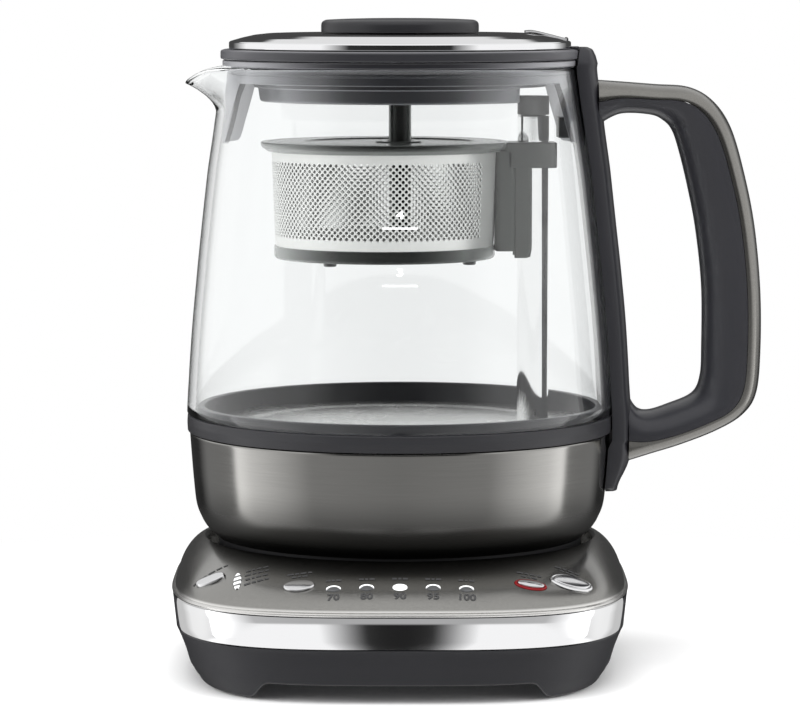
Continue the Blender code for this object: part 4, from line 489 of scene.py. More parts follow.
# painted highlight: from these distances out to its two ends the band's steel glows white through its
# emission
BAND_PAINTED_HIGHLIGHT_START_X, BAND_PAINTED_HIGHLIGHT_END_X = 0.0560, 0.0680
BAND_STEPS = 200
mirror_steel = polished("mirror_steel", (0.90, 0.90, 0.91), 0.035)
band_steel_painted_ends = polished("band_steel_painted_ends", (0.90, 0.90, 0.91), 0.045)
tree, shader = opened(band_steel_painted_ends)
from_middle = maths(tree, "ABSOLUTE", object_axes(tree)["X"])
painted_end_highlight = smooth_range(tree, from_middle, BAND_PAINTED_HIGHLIGHT_START_X, BAND_PAINTED_HIGHLIGHT_END_X, 0.0, 0.50)
shader.inputs["Emission Color"].default_value = (1.0, 1.0, 1.0, 1.0)
tree.links.new(painted_end_highlight, shader.inputs["Emission Strength"])
band_start, band_end = math.pi + BAND_END_ANGLE, math.tau - BAND_END_ANGLE
sections = []
for index in range(BAND_STEPS + 1):
    angle = band_start + (band_end - band_start) * index / BAND_STEPS
    section = []
    for row in range(9):
        share = row / 8
        z = BAND_TOP_Z + (BAND_BOTTOM_Z - BAND_TOP_Z) * share
        inset = SKIRT_CURVE[0][1] + (SKIRT_CURVE[1][1] - SKIRT_CURVE[0][1]) * share
        crown = BAND_CROWN * (1 - (2 * share - 1) ** 2) - BAND_EDGE * abs(2 * share - 1) ** 18
        section.append(base_point(angle, inset - evenly(crown), z))
    section.append(base_point(angle, SKIRT_CURVE[1][1] + evenly(BAND_THICKNESS), BAND_BOTTOM_Z))
    section.append(base_point(angle, SKIRT_CURVE[0][1] + evenly(BAND_THICKNESS), BAND_TOP_Z))
    sections.append(section)
band = skin("front_band_strip", sections)
fit(even_shading(band), band_steel_painted_ends, "power_base", "polished_steel", "front_band")


# Base cover: the warm grey metallic cover over the tray, with its control panel sloping to the front.
# A rolled lip runs round its lower edge, and the jug stands in the round recess in its middle.
LIP_BOTTOM_Z = BAND_TOP_Z + 0.0005
LIP_TOP_Z = 0.0323
LIP_WIDTH = 0.0012
PANEL_EDGE = evenly(0.0012)
RIM_Z = cover_high.z
RIM_RADIUS = 0.0692
RIM_LAND = 0.0011
RECESS_RADIUS = 0.0686
RECESS_Z = seat_low.z - 0.0003
FRONT_SHOULDER, SIDE_SHOULDER = 1.35, 1.60
PANEL_ROWS = 44
TURRET_RADIUS = 0.0126
COVER_WALL = 0.0022


def panel_height(angle, share):
    """Height of the cover's top, from the recess rim (share 0) out to the lip (share 1)."""
    forward = max(0.0, -math.sin(angle)) ** 2
    power = SIDE_SHOULDER + (FRONT_SHOULDER - SIDE_SHOULDER) * forward
    return LIP_TOP_Z + (RIM_Z - LIP_TOP_Z) * max(0.0, 1 - share ** power) ** (1 / power)


def panel_point(angle, share):
    """A point of the cover's top."""
    radius = RIM_RADIUS + (base_radius(angle, PANEL_EDGE) - RIM_RADIUS) * share
    return Vector((radius * math.cos(angle), radius * math.sin(angle), panel_height(angle, share)))


def panel_normal(angle, share):
    """The direction straight out of the cover's top."""
    step = 0.001
    share = min(share, 1 - 2 * step)
    outward = panel_point(angle, share + step) - panel_point(angle, share - step)
    around = panel_point(angle + step, share) - panel_point(angle - step, share)
    return outward.cross(around).normalized()


def panel_frame(x, y):
    """Placement on the panel over a spot seen from above: X runs across the panel, Z out of it."""
    angle = math.atan2(y, x)
    share = (math.hypot(x, y) - RIM_RADIUS) / (base_radius(angle, PANEL_EDGE) - RIM_RADIUS)
    normal = panel_normal(angle, share)
    along = (Vector((1, 0, 0)) - normal * normal.x).normalized()
    across = normal.cross(along)
    placed = Matrix((along, across, normal)).transposed().to_4x4()
    placed.translation = panel_point(angle, share)
    return placed


flakes, given, out = new_group(
    "paint_flakes",
    (("Colour", "NodeSocketColor", (0.3, 0.3, 0.3, 1.0)), ("Sparkle", "NodeSocketFloat", 0.15),
     ("Roughness", "NodeSocketFloat", 0.25)),
    (("Colour", "NodeSocketColor"), ("Roughness", "NodeSocketFloat"), ("Height", "NodeSocketFloat")))
cells = flakes.nodes.new("ShaderNodeTexVoronoi")
cells.inputs["Scale"].default_value = 5200.0
flakes.links.new(object_place(flakes), cells.inputs["Vector"])
single = flakes.nodes.new("ShaderNodeSeparateColor")
flakes.links.new(cells.outputs["Color"], single.inputs["Color"])
twinkle = wavering(flakes, 1.0, single.outputs["Red"], given["Sparkle"])
flakes.links.new(varied(flakes, given["Colour"], twinkle), out["Colour"])
flakes.links.new(wavering(flakes, given["Roughness"], noise(flakes, 60.0), 0.08), out["Roughness"])
flakes.links.new(single.outputs["Green"], out["Height"])


def hickory(name, roughness, coat=0.35, colour=(0.312, 0.307, 0.292)):
    """Warm grey metallic lacquer under a clear coat."""
    made, tree, shader = new_finish(name, Metallic=1.0, Coat_Weight=coat, Coat_Roughness=0.08)
    paint = place_group(tree, flakes, colour=(*colour, 1.0), sparkle=0.22, roughness=roughness)
    tree.links.new(paint["Colour"], shader.inputs["Base Color"])
    tree.links.new(paint["Roughness"], shader.inputs["Roughness"])
    relief(tree, shader, paint["Height"], 0.04, 0.00002)
    return made


def recolour(tree, shader, factor, colour):
    """Lays a colour over what a shader's base colour already is, by a factor."""
    base = shader.inputs["Base Color"]
    tree.links.new(colour_mix(tree, factor, base.links[0].from_socket, colour), base)


cover_paint = hickory("hickory_cover", 0.24)
tree, shader = opened(cover_paint)
# painted highlight: the rolled lip's lacquer is painted nearly white along its bead
painted_lip_highlight = smooth_range(tree, object_axes(tree)["Z"], LIP_TOP_Z + 0.0002, LIP_TOP_Z + 0.0010, 1.0, 0.0)
recolour(tree, shader, painted_lip_highlight, (0.78, 0.77, 0.75, 1.0))
rings = []


def cover_ring(of_angle):
    """Adds a ring to the cover, from a function that gives its point at an angle."""
    rings.append([tuple(of_angle(math.tau * i / OUTLINE_STEPS)) for i in range(OUTLINE_STEPS)])


def round_point(radius, z):
    """The points of a level circle, as a function of the angle."""
    return lambda a: (radius * math.cos(a), radius * math.sin(a), z)


cover_ring(lambda a: base_point(a, evenly(COVER_WALL), LIP_BOTTOM_Z + 0.0004))
cover_ring(lambda a: base_point(a, evenly(LIP_WIDTH), LIP_BOTTOM_Z))
lip_middle = (LIP_TOP_Z + LIP_BOTTOM_Z) / 2
lip_half = (LIP_TOP_Z - LIP_BOTTOM_Z) / 2
for step in range(1, 12):
    turned_by = math.pi * (step / 12 - 0.5)
    inset = evenly(LIP_WIDTH * (1 - math.cos(turned_by)))
    cover_ring(lambda a: base_point(a, inset, lip_middle + lip_half * math.sin(turned_by)))
for row in range(PANEL_ROWS):
    share = max(1 - (row / (PANEL_ROWS - 1)) ** 2.2, RIM_LAND / 0.02)
    cover_ring(lambda a: panel_point(a, share))
cover_ring(round_point(RIM_RADIUS + RIM_LAND * 0.5, RIM_Z - 0.00003))
cover_ring(round_point(RIM_RADIUS, RIM_Z - 0.0002))
cover_ring(round_point(RECESS_RADIUS, RIM_Z - 0.0009))
cover_ring(round_point(RECESS_RADIUS, RECESS_Z + 0.0006))
cover_ring(round_point(RECESS_RADIUS - 0.0006, RECESS_Z))
cover_ring(round_point(TURRET_RADIUS + 0.0003, RECESS_Z))
cover_ring(round_point(TURRET_RADIUS + 0.0003, RECESS_Z - COVER_WALL))
cover_ring(round_point(RECESS_RADIUS + 0.002, RECESS_Z - COVER_WALL))
for share in (0.35, 0.6, 0.82):
    cover_ring(lambda a: panel_point(a, share) - panel_normal(a, share) * COVER_WALL)
cover = skin("base_cover_panel", rings, closed=True)

# spot on the panel, half width, half depth and turn of each key
CONTROLS = {
    "strength": (-0.0647, -0.0647, 0.0056, 0.0029, math.radians(-12)),
    "select": (-0.0340, -0.0834, 0.0053, 0.0031, 0.0),
    "keep_warm": (0.0442, -0.0800, 0.0046, 0.0020, 0.0),
    "start": (0.0583, -0.0720, 0.0068, 0.0037, math.radians(14)),
}
HALO_WIDTH, BEZEL_WIDTH = 0.0010, 0.0011
SURROUNDS = {"keep_warm": HALO_WIDTH, "start": BEZEL_WIDTH}
LAMP_COUNT, LAMP_PITCH, LAMP_Y = 5, 0.0112, -0.0860
LAMP_OVAL = (0.0025, 0.0017)
LAMP_SPOTS = [((index - (LAMP_COUNT - 1) / 2) * LAMP_PITCH, LAMP_Y) for index in range(LAMP_COUNT)]
STRENGTH_LAMPS_SPOT, STRENGTH_LAMPS_OVAL = (-0.0553, -0.0728), (0.0014, 0.0056)
OVAL_STEPS = 64


def oval_stack(name, x, y, rings, closed=False, turn_by=0.0):
    """A skin over ovals of (half width, half depth, height over the panel) at a spot of the panel."""
    frame_there = panel_frame(x, y) @ Matrix.Rotation(turn_by, 4, "Z")
    turns = [math.tau * index / OVAL_STEPS for index in range(OVAL_STEPS)]
    ovals = []
    for wide, deep, up in rings:
        flat = [Vector((wide * math.cos(a), deep * math.sin(a), up)) for a in turns]
        ovals.append([tuple(frame_there @ point) for point in flat])
    return skin(name, ovals, closed=closed)


def finished_mesh(piece):
    """The mesh of a piece with its modifiers applied."""
    bpy.context.view_layer.update()
    return bpy.data.meshes.new_from_object(piece.evaluated_get(bpy.context.evaluated_depsgraph_get()))


def carve(piece, tool):
    """Cuts a tool out of a piece for good and takes the tool away."""
    boolean = piece.modifiers.new("cut", "BOOLEAN")
    boolean.operation = "DIFFERENCE"
    boolean.solver = "EXACT"
    boolean.object = tool
    while piece.modifiers[0] != boolean:
        piece.modifiers.remove(piece.modifiers[0])
    made = finished_mesh(piece)
    piece.modifiers.clear()
    piece.data = made
    made.shade_smooth()
    made.set_sharp_from_angle(angle=SHARP_ANGLE)
    bpy.data.objects.remove(tool, do_unlink=True)
    return piece


def joined(name, pieces):
    """Several loose meshes as one piece."""
    shape = bmesh.new()
    for piece in pieces:
        shape.from_mesh(piece.data)
        bpy.data.objects.remove(piece, do_unlink=True)
    mesh = bpy.data.meshes.new(name)
    shape.to_mesh(mesh)
    shape.free()
    mesh.set_sharp_from_angle(angle=SHARP_ANGLE)
    return placed_piece(name, mesh)


HOLE_GAP, HOLE_LOW, HOLE_HIGH = 0.00012, -0.0060, 0.0040
holes = []
for label, (x, y, wide, deep, turn_by) in CONTROLS.items():
    surround = SURROUNDS.get(label, 0.0)
    holes.append((x, y, wide + surround, deep + surround, turn_by))
holes += [(x, y, *LAMP_OVAL, 0.0) for x, y in LAMP_SPOTS]
holes.append((*STRENGTH_LAMPS_SPOT, *STRENGTH_LAMPS_OVAL, 0.0))
punches = []
for x, y, wide, deep, turn_by in holes:
    ovals = [(wide + HOLE_GAP, deep + HOLE_GAP, up) for up in (HOLE_LOW, HOLE_HIGH)]
    punches.append(oval_stack("punch", x, y, ovals, turn_by=turn_by))
carve(cover, joined("punches", punches))
fit(cover, cover_paint, "power_base", "hickory_metal", "base_cover")


# Buttons: four oval keys of polished silver plastic that stand a little proud, each with a flange and a
# stem under the panel. Two have a surround of their own: a red lens ring and a polished steel bezel.
KEY_PROUD, KEY_ROUND, KEY_CROWN = 0.0009, 0.0005, 0.0002
KEY_STEM_RADIUS, KEY_STEM_FOOT = 0.0018, -0.0078
KEY_FLANGE, KEY_FLANGE_LOW, KEY_FLANGE_HIGH = 0.0008, -0.0036, -0.0026
RING_FOOT, RING_SHOULDER, RING_EDGE, RING_CROWN = -0.0024, 0.0001, 0.0003, 0.0004
RING_BREAK = 0.0002          # how far a ring's edges are broken
silver = polished("silver_key", (0.78, 0.78, 0.79), 0.09)
for label, (x, y, wide, deep, turn_by) in CONTROLS.items():
    flange_wide, flange_deep = wide + KEY_FLANGE, deep + KEY_FLANGE
    rings = [(KEY_STEM_RADIUS, KEY_STEM_RADIUS, KEY_STEM_FOOT),
             (KEY_STEM_RADIUS, KEY_STEM_RADIUS, KEY_FLANGE_LOW),
             (flange_wide, flange_deep, KEY_FLANGE_LOW), (flange_wide, flange_deep, KEY_FLANGE_HIGH),
             (wide, deep, KEY_FLANGE_HIGH), (wide, deep, KEY_PROUD - KEY_ROUND)]
    for step in range(1, 7):
        a = math.pi / 2 * step / 6
        back = KEY_ROUND * (1 - math.cos(a))
        rings.append((wide - back, deep - back, KEY_PROUD - KEY_ROUND * (1 - math.sin(a))))
    for share in (0.75, 0.5, 0.25):
        crown = KEY_CROWN * (1 - share ** 2)
        rings.append(((wide - KEY_ROUND) * share, (deep - KEY_ROUND) * share, KEY_PROUD + crown))
    key_cap = oval_stack(f"{label}_key_cap", x, y, rings, turn_by=turn_by)
    fit(key_cap, silver, f"{label}_key", "silver_button", f"{label}_button")
red = moulded("halo_red", (0.16, 0.004, 0.006), 0.22, clouding=0.04, Specular_IOR_Level=0.3)
for name, label, width, finish, slot_name, node in (
        ("keep_warm_halo_ring", "keep_warm", HALO_WIDTH, red, "red_lens", "keep_warm_halo"),
        ("start_bezel_ring", "start", BEZEL_WIDTH, mirror_steel, "polished_steel", "start_bezel")):
    x, y, wide, deep, turn_by = CONTROLS[label]
    near, far = HOLE_GAP, width
    rings = [(wide + out_by, deep + out_by, up) for out_by, up in (
        (far, RING_FOOT), (far, RING_SHOULDER), (far - RING_BREAK, RING_EDGE), (width / 2, RING_CROWN),
        (near + RING_BREAK, RING_EDGE), (near, RING_SHOULDER), (near, RING_FOOT))]
    fit(oval_stack(name, x, y, rings, closed=True, turn_by=turn_by), finish, "power_base", slot_name, node)


# Lamps: five milky oval lenses in a row, and beside the strength button a slim upright one with four
# bright cells, all on clear light guides. The middle lens is lit; the others have a painted highlight along
# one edge.
LAMP_PROUD, LAMP_FOOT = 0.0002, -0.0048
LIT_HALF_START, LIT_HALF_END = 0.0035, 0.0045
PAINTED_HIGHLIGHT_RISE = -0.0008      # the painted highlight crescents are centred this far from the middle of their lenses
STRENGTH_CELLS = 4
lens, tree, shader = new_finish("lamp_milky", Roughness=0.22, Coat_Weight=0.6, Coat_Roughness=0.04)
spot = object_axes(tree)
# half a pitch and whole pitches added, so that each lens has a cell of its own round its middle
lens_count = maths(tree, "ADD", maths(tree, "DIVIDE", spot["X"], LAMP_PITCH), 10.5)
cell = maths(tree, "SUBTRACT", maths(tree, "FRACT", lens_count), 0.5)
across = maths(tree, "DIVIDE", maths(tree, "MULTIPLY", cell, LAMP_PITCH), LAMP_OVAL[0])
upward = maths(tree, "DIVIDE", maths(tree, "SUBTRACT", spot["Y"], LAMP_Y + PAINTED_HIGHLIGHT_RISE), LAMP_OVAL[1])
squares = [maths(tree, "POWER", maths(tree, "ABSOLUTE", part), 2.0) for part in (across, upward)]
away = maths(tree, "SQRT", maths(tree, "ADD", *squares))
# painted highlight: a crescent along one edge of each lens, painted white and glowing; the middle lens's
# light is its lamp
painted_crescent_highlight = maths(tree, "MULTIPLY", smooth_range(tree, away, 0.72, 0.95), smooth_range(tree, upward, 0.0, 0.5))
lit = smooth_range(tree, maths(tree, "ABSOLUTE", spot["X"]), LIT_HALF_START, LIT_HALF_END, 1.0, 0.0)
lamp_light_and_painted_highlight = maths(tree, "MAXIMUM", painted_crescent_highlight, lit)
milky = colour_mix(tree, noise(tree, 900.0), (0.040, 0.041, 0.043, 1.0), (0.075, 0.077, 0.080, 1.0))
tree.links.new(colour_mix(tree, lamp_light_and_painted_highlight, milky, (0.93, 0.94, 0.95, 1.0)), shader.inputs["Base Color"])
shader.inputs["Emission Color"].default_value = (1.0, 1.0, 1.0, 1.0)
tree.links.new(maths(tree, "MULTIPLY", lamp_light_and_painted_highlight, 0.35), shader.inputs["Emission Strength"])
wide, deep = LAMP_OVAL
lens_rings = [(wide, deep, LAMP_FOOT), (wide, deep, 0.0), (wide * 0.94, deep * 0.92, LAMP_PROUD),
              (wide * 0.5, deep * 0.5, LAMP_PROUD + 0.0001)]
lamps = [oval_stack("tea_lamp", x, y, lens_rings) for x, y in LAMP_SPOTS]
fit(joined("tea_lamp_lenses", lamps), lens, "power_base", "lamp_lens", "tea_lamps")
wide, deep = STRENGTH_LAMPS_OVAL
strength_lens = moulded("strength_lens_milky", (0.100, 0.100, 0.098), 0.2, pitch=0.002, clouding=0.3,
                        Coat_Weight=0.5)
tree, shader = opened(strength_lens)
from_end = maths(tree, "SUBTRACT", object_axes(tree)["Y"], STRENGTH_LAMPS_SPOT[1] + deep)
cell = maths(tree, "FRACT", maths(tree, "DIVIDE", from_end, 2 * deep / STRENGTH_CELLS))
from_cell_middle = maths(tree, "ABSOLUTE", maths(tree, "SUBTRACT", cell, 0.5))
cell_light = smooth_range(tree, from_cell_middle, 0.24, 0.32, 1.0, 0.0)
recolour(tree, shader, cell_light, (0.88, 0.89, 0.90, 1.0))
lens_rings = [(wide, deep, LAMP_FOOT), (wide, deep, 0.0), (wide * 0.8, deep * 0.96, LAMP_PROUD)]
fit(oval_stack("strength_lamp_lens", *STRENGTH_LAMPS_SPOT, lens_rings), strength_lens, "power_base",
    "lamp_lens", "strength_lamps")


# Print: small dark marks and plain numbers beside the lamps and over the buttons, printed on the panel.
INK_LIFT = 0.00012
PRINT_BOLD = 0.00012
LABEL_DEPTH = 0.0010
LABEL_RISE, LABEL_LINE = 0.0026, 0.0020      # over a button's edge, and from line to line
LAMP_LABEL_RISE, NUMBER_DROP = 0.0042, 0.0038
NUMBERS = ("70", "80", "90", "95", "100")
NUMBER_SIZE, NUMBER_STRETCH = 0.0034, 1.25
LONG_ROW, SHORT_ROW = (0.0022, 0.0013, 0.0020, 0.0014), (0.0016, 0.0010, 0.0017)
STRENGTH_ROW = (0.0026, 0.0017, 0.0024, 0.0020, 0.0015)
STRENGTH_LABEL_SPOT, STRENGTH_LABEL_TURN = (-0.0650, -0.0592), math.radians(16)
SCALE_X, SCALE_TOP_Y, SCALE_LINE, SCALE_TURN = -0.0487, -0.0672, 0.0030, math.radians(6)


def number_mesh(body, size, stretch=1.0):
    """The flat mesh of a plain number, centred."""
    curve = bpy.data.curves.new("number", "FONT")
    curve.body = body
    curve.size = size
    curve.align_x, curve.align_y = "CENTER", "CENTER"
    curve.resolution_u = 3
    curve.offset = PRINT_BOLD
    holder = bpy.data.objects.new("number", curve)
    bpy.context.scene.collection.objects.link(holder)
    made = finished_mesh(holder)
    bpy.data.objects.remove(holder, do_unlink=True)
    made.transform(Matrix.Diagonal((stretch, 1.0, 1.0, 1.0)))
    return made


def printed(name, marks, place_point):
    """Marks of (mesh, x, y, turn) laid on a surface by a function of the spot."""
    shape = bmesh.new()
    for mesh, x, y, turn_by in marks:
        before = len(shape.verts)
        shape.from_mesh(mesh)
        shape.verts.ensure_lookup_table()
        for vertex in shape.verts[before:]:
            lx, ly = vertex.co.x, vertex.co.y
            vertex.co = place_point(x + lx * math.cos(turn_by) - ly * math.sin(turn_by),
                                    y + lx * math.sin(turn_by) + ly * math.cos(turn_by))
    mesh = bpy.data.meshes.new(name)
    bmesh.ops.recalc_face_normals(shape, faces=shape.faces)
    shape.to_mesh(mesh)
    shape.free()
    return placed_piece(name, mesh)


def dash_mesh(lengths, depth, cuts=3, space=0.0005):
    """A row of flat bars with even gaps, each cut into short pieces so that it follows what it is on."""
    shape = bmesh.new()
    left = -(sum(lengths) + space * (len(lengths) - 1)) / 2
    for length in lengths:
        before = len(shape.verts)
        bmesh.ops.create_grid(shape, x_segments=cuts, y_segments=1, size=0.5)
        shape.verts.ensure_lookup_table()
        dash = shape.verts[before:]
        bmesh.ops.scale(shape, vec=(length, depth, 1.0), verts=dash)
        bmesh.ops.translate(shape, vec=(left + length / 2, 0.0, 0.0), verts=dash)
        left += length + space
    made = bpy.data.meshes.new("dashes")
    shape.to_mesh(made)
    shape.free()
    return made


def on_panel(x, y):
    """A point just over the panel."""
    there = panel_frame(x, y)
    return there.translation + there.col[2].to_3d() * INK_LIFT


marks = []
for number, (x, y) in zip(NUMBERS, LAMP_SPOTS):
    marks.append((dash_mesh(SHORT_ROW, LABEL_DEPTH), x, y + LAMP_LABEL_RISE, 0.0))
    marks.append((number_mesh(number, NUMBER_SIZE, NUMBER_STRETCH), x, y - NUMBER_DROP, 0.0))
marks.append((dash_mesh(STRENGTH_ROW, LABEL_DEPTH), *STRENGTH_LABEL_SPOT, STRENGTH_LABEL_TURN))
for label, aside, turn_by in (("select", 0.0, 2), ("keep_warm", -0.0004, -3), ("start", -0.0012, -8)):
    x, y, _, deep, _ = CONTROLS[label]
    for row, lengths in enumerate((SHORT_ROW, LONG_ROW)):
        line_y = y + deep + LABEL_RISE + LABEL_LINE * row
        marks.append((dash_mesh(lengths, LABEL_DEPTH), x + aside, line_y, math.radians(turn_by)))
for index in range(STRENGTH_CELLS):
    lengths = LONG_ROW if index % 2 else SHORT_ROW + (0.0018,)
    marks.append((dash_mesh(lengths, LABEL_DEPTH), SCALE_X, SCALE_TOP_Y - SCALE_LINE * index, SCALE_TURN))
ink = moulded("panel_ink", (0.035, 0.035, 0.036), 0.55, clouding=0.1)
fit(printed("panel_print", marks, on_panel), ink, "power_base", "black_plastic")


# Jug seat and connector: a black ring in the recess that the jug stands on, and the round cordless
# socket in its middle, a moulded turret with a brass pin. The jug's half of the connector turns on it.
SEAT_OUTSIDE, SEAT_INSIDE = 0.0620, 0.0560
connector_low, connector_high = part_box("base_connector")


def smooth_path(points, steps):
    """A smooth curve through points, each span cut into the same number of steps."""
    last = len(points) - 1
    path = []
    for span in range(last):
        before, here, after, beyond = (Vector(points[max(0, min(last, span + s))]) for s in (-1, 0, 1, 2))
        for step in range(steps):
            path.append(between(before, here, after, beyond, step / steps))
    path.append(Vector(points[last]))
    return [tuple(point) for point in path]


def rounded(outline, size, steps=4):
    """A closed outline with its corners rounded off; one at radius 0 stays as it is."""
    found = []
    for index, corner in enumerate(outline):
        here = Vector(corner)
        before = Vector(outline[index - 1]) - here
        after = Vector(outline[(index + 1) % len(outline)]) - here
        if here.x == 0.0:
            found.append(tuple(here))
            continue
        start = before.normalized() * min(size, before.length * 0.45)
        end = after.normalized() * min(size, after.length * 0.45)
        for step in range(steps + 1):
            t = step / steps
            found.append(tuple(here + start * (1 - t) ** 2 + end * t ** 2))
    return found


def turned(name, outline, across=0.0, steps=160):
    """An outline of (radius, height) spun about an upright axis."""
    turns = [math.tau * index / steps for index in range(steps)]
    rings = []
    for radius, z in outline:
        rings.append([(across + radius * math.cos(a), radius * math.sin(a), z) for a in turns])
    return even_shading(skin(name, rings, closed=outline[0][0] > 0.0, caps=False))


seat_black = moulded("seat_rubber", (0.014, 0.014, 0.015), 0.70, pitch=0.0006, depth=0.00003)
seat_top = seat_high.z
seat = [(SEAT_OUTSIDE, seat_top), (SEAT_OUTSIDE, seat_low.z), (SEAT_INSIDE, seat_low.z),
        (SEAT_INSIDE, seat_top)]
fit(turned("jug_seat_ring", rounded(seat, 0.0006)), seat_black, "power_base", "black_rubber", "jug_seat")

connector_black = moulded("connector_black", (0.011, 0.011, 0.012), 0.38, pitch=0.0005, depth=0.00002)
turret_top = connector_high.z
turret_foot = connector_low.z
turret_wide = connector_high.x - JUG_AXIS.x
turret = [(0.0027, turret_top), (0.0060, turret_top), (0.0064, turret_top - 0.0008),
          (0.0082, turret_top - 0.0008), (0.0086, turret_top), (0.0112, turret_top),
          (TURRET_RADIUS, turret_top - 0.0014), (TURRET_RADIUS, turret_foot + 0.0014),
          (turret_wide, turret_foot + 0.0014), (turret_wide, turret_foot), (0.0027, turret_foot)]
fit(turned("base_connector_turret", rounded(turret, 0.0003, 3), steps=96), connector_black,
    "power_base", "black_plastic", "base_connector")

JUG_BOTTOM_Z = seat_top + 0.0003
socket_low, socket_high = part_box("jug_connector")
socket = [(0.0, socket_high.z), (0.0175, socket_high.z), (0.0175, 0.0449), (0.0200, 0.0449),
          (0.0200, 0.0424), (0.0175, 0.0424), (0.0175, socket_low.z), (0.0130, socket_low.z),
          (0.0130, 0.0424), (0.0028, 0.0424), (0.0028, 0.0494), (0.0, 0.0494)]
fit(turned("jug_connector_half", rounded(socket, 0.0004, 3), steps=96), connector_black,
    "jug_socket", "black_plastic", "jug_connector")

under_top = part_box("jug_base_cover")[1].z
under = [(0.0663, under_top), (0.0663, 0.0484), (0.0648, 0.0484), (0.0648, 0.0420), (0.0637, JUG_BOTTOM_Z),
         (0.0420, JUG_BOTTOM_Z), (0.0412, JUG_BOTTOM_Z + 0.0006), (0.0300, JUG_BOTTOM_Z + 0.0006),
         (0.0292, JUG_BOTTOM_Z), (0.0179, JUG_BOTTOM_Z), (0.0179, 0.0420), (0.0626, 0.0420),
         (0.0626, under_top)]
fit(turned("jug_base_plate", rounded(under, 0.0005, 3)), connector_black, "jug", "black_plastic",
    "jug_base_cover")


# Jug shell: a deep drawn skirt in the same warm grey lacquer, turned in at its foot. It is brushed level
# round the jug before it is lacquered, and its front is bare.
SHELL_TOP_Z = 0.0833
SHELL_TOP_RADIUS = 0.0749
SHELL_WALL = 0.0012
SHELL_POINTS = ((0.0749, 0.0827), (0.07435, 0.0750), (0.0737, 0.0668), (0.0727, 0.0578), (0.0710, 0.0531),
                (0.0694, 0.0503), (0.0676, 0.0483), (0.0662, 0.0471), (0.0655, 0.0465))
brushing, given, out = new_group(
    "level_brushing",
    (("Colour", "NodeSocketColor", (0.6, 0.6, 0.6, 1.0)), ("Contrast", "NodeSocketFloat", 0.1),
     ("Fineness", "NodeSocketFloat", 4000.0), ("Roughness", "NodeSocketFloat", 0.3),
     ("Spread", "NodeSocketFloat", 0.1)),
    (("Colour", "NodeSocketColor"), ("Roughness", "NodeSocketFloat"), ("Height", "NodeSocketFloat")))
place = object_axes(brushing)
drawn_out = brushing.nodes.new("ShaderNodeCombineXYZ")
for label in ("X", "Y"):
    brushing.links.new(maths(brushing, "MULTIPLY", place[label], 60.0), drawn_out.inputs[label])
brushing.links.new(maths(brushing, "MULTIPLY", place["Z"], given["Fineness"]), drawn_out.inputs["Z"])
line = brushing.nodes.new("ShaderNodeTexNoise")
line.inputs["Scale"].default_value = 1.0
line.inputs["Detail"].default_value = 3.0
brushing.links.new(drawn_out.outputs["Vector"], line.inputs["Vector"])
lines = line.outputs["Fac"]
streaked = wavering(brushing, 1.0, lines, given["Contrast"])
brushing.links.new(varied(brushing, given["Colour"], streaked), out["Colour"])
brushing.links.new(wavering(brushing, given["Roughness"], lines, given["Spread"]), out["Roughness"])
brushing.links.new(lines, out["Height"])


def brushed(name, colour, roughness, contrast=0.12, fineness=4000.0, spread=0.12, depth=0.00002,
            metallic=1.0):
    """Brushed bare metal, its lines level round the piece."""
    made, tree, shader = new_finish(name, Metallic=metallic)
    hairlines = place_group(tree, brushing, colour=(*colour, 1.0), contrast=contrast, fineness=fineness,
                            roughness=roughness, spread=spread)
    tree.links.new(hairlines["Colour"], shader.inputs["Base Color"])
    tree.links.new(hairlines["Roughness"], shader.inputs["Roughness"])
    relief(tree, shader, hairlines["Height"], 0.12, depth)
    return made


shell_paint = brushed("hickory_shell", (0.322, 0.317, 0.304), 0.14, contrast=0.16, fineness=2600.0,
                      spread=0.08)
tree, shader = opened(shell_paint)
level = object_axes(tree)["Z"]
# painted shade: the shell's colour is darkened towards its foot, down to a tenth at the bottom
painted_foot_shade = smooth_range(tree, level, 0.0490, 0.0700, 0.10, 1.0)
painted_shade_colour = colour_mix(tree, painted_foot_shade, (0.0, 0.0, 0.0, 1.0), shader.inputs["Base Color"].links[0].from_socket)
tree.links.new(painted_shade_colour, shader.inputs["Base Color"])
foot_haze = smooth_range(tree, level, 0.0500, 0.0620, 0.40, 0.0)
lined = shader.inputs["Roughness"].links[0].from_socket
tree.links.new(maths(tree, "ADD", lined, foot_haze), shader.inputs["Roughness"])
outer = smooth_path(SHELL_POINTS, 6)
inner = [(radius - SHELL_WALL, max(z, 0.0477)) for radius, z in reversed(outer)]
outline = [(SHELL_TOP_RADIUS - 0.0004, SHELL_TOP_Z), (SHELL_TOP_RADIUS - 0.0001, SHELL_TOP_Z - 0.0002),
           *outer, (0.0653, 0.0462), (0.0650, 0.0466), *inner, (SHELL_TOP_RADIUS - SHELL_WALL, SHELL_TOP_Z)]
shell = turned("jug_shell_skirt", outline, steps=240)
fit(shell, shell_paint, "jug", "hickory_metal", "jug_shell")


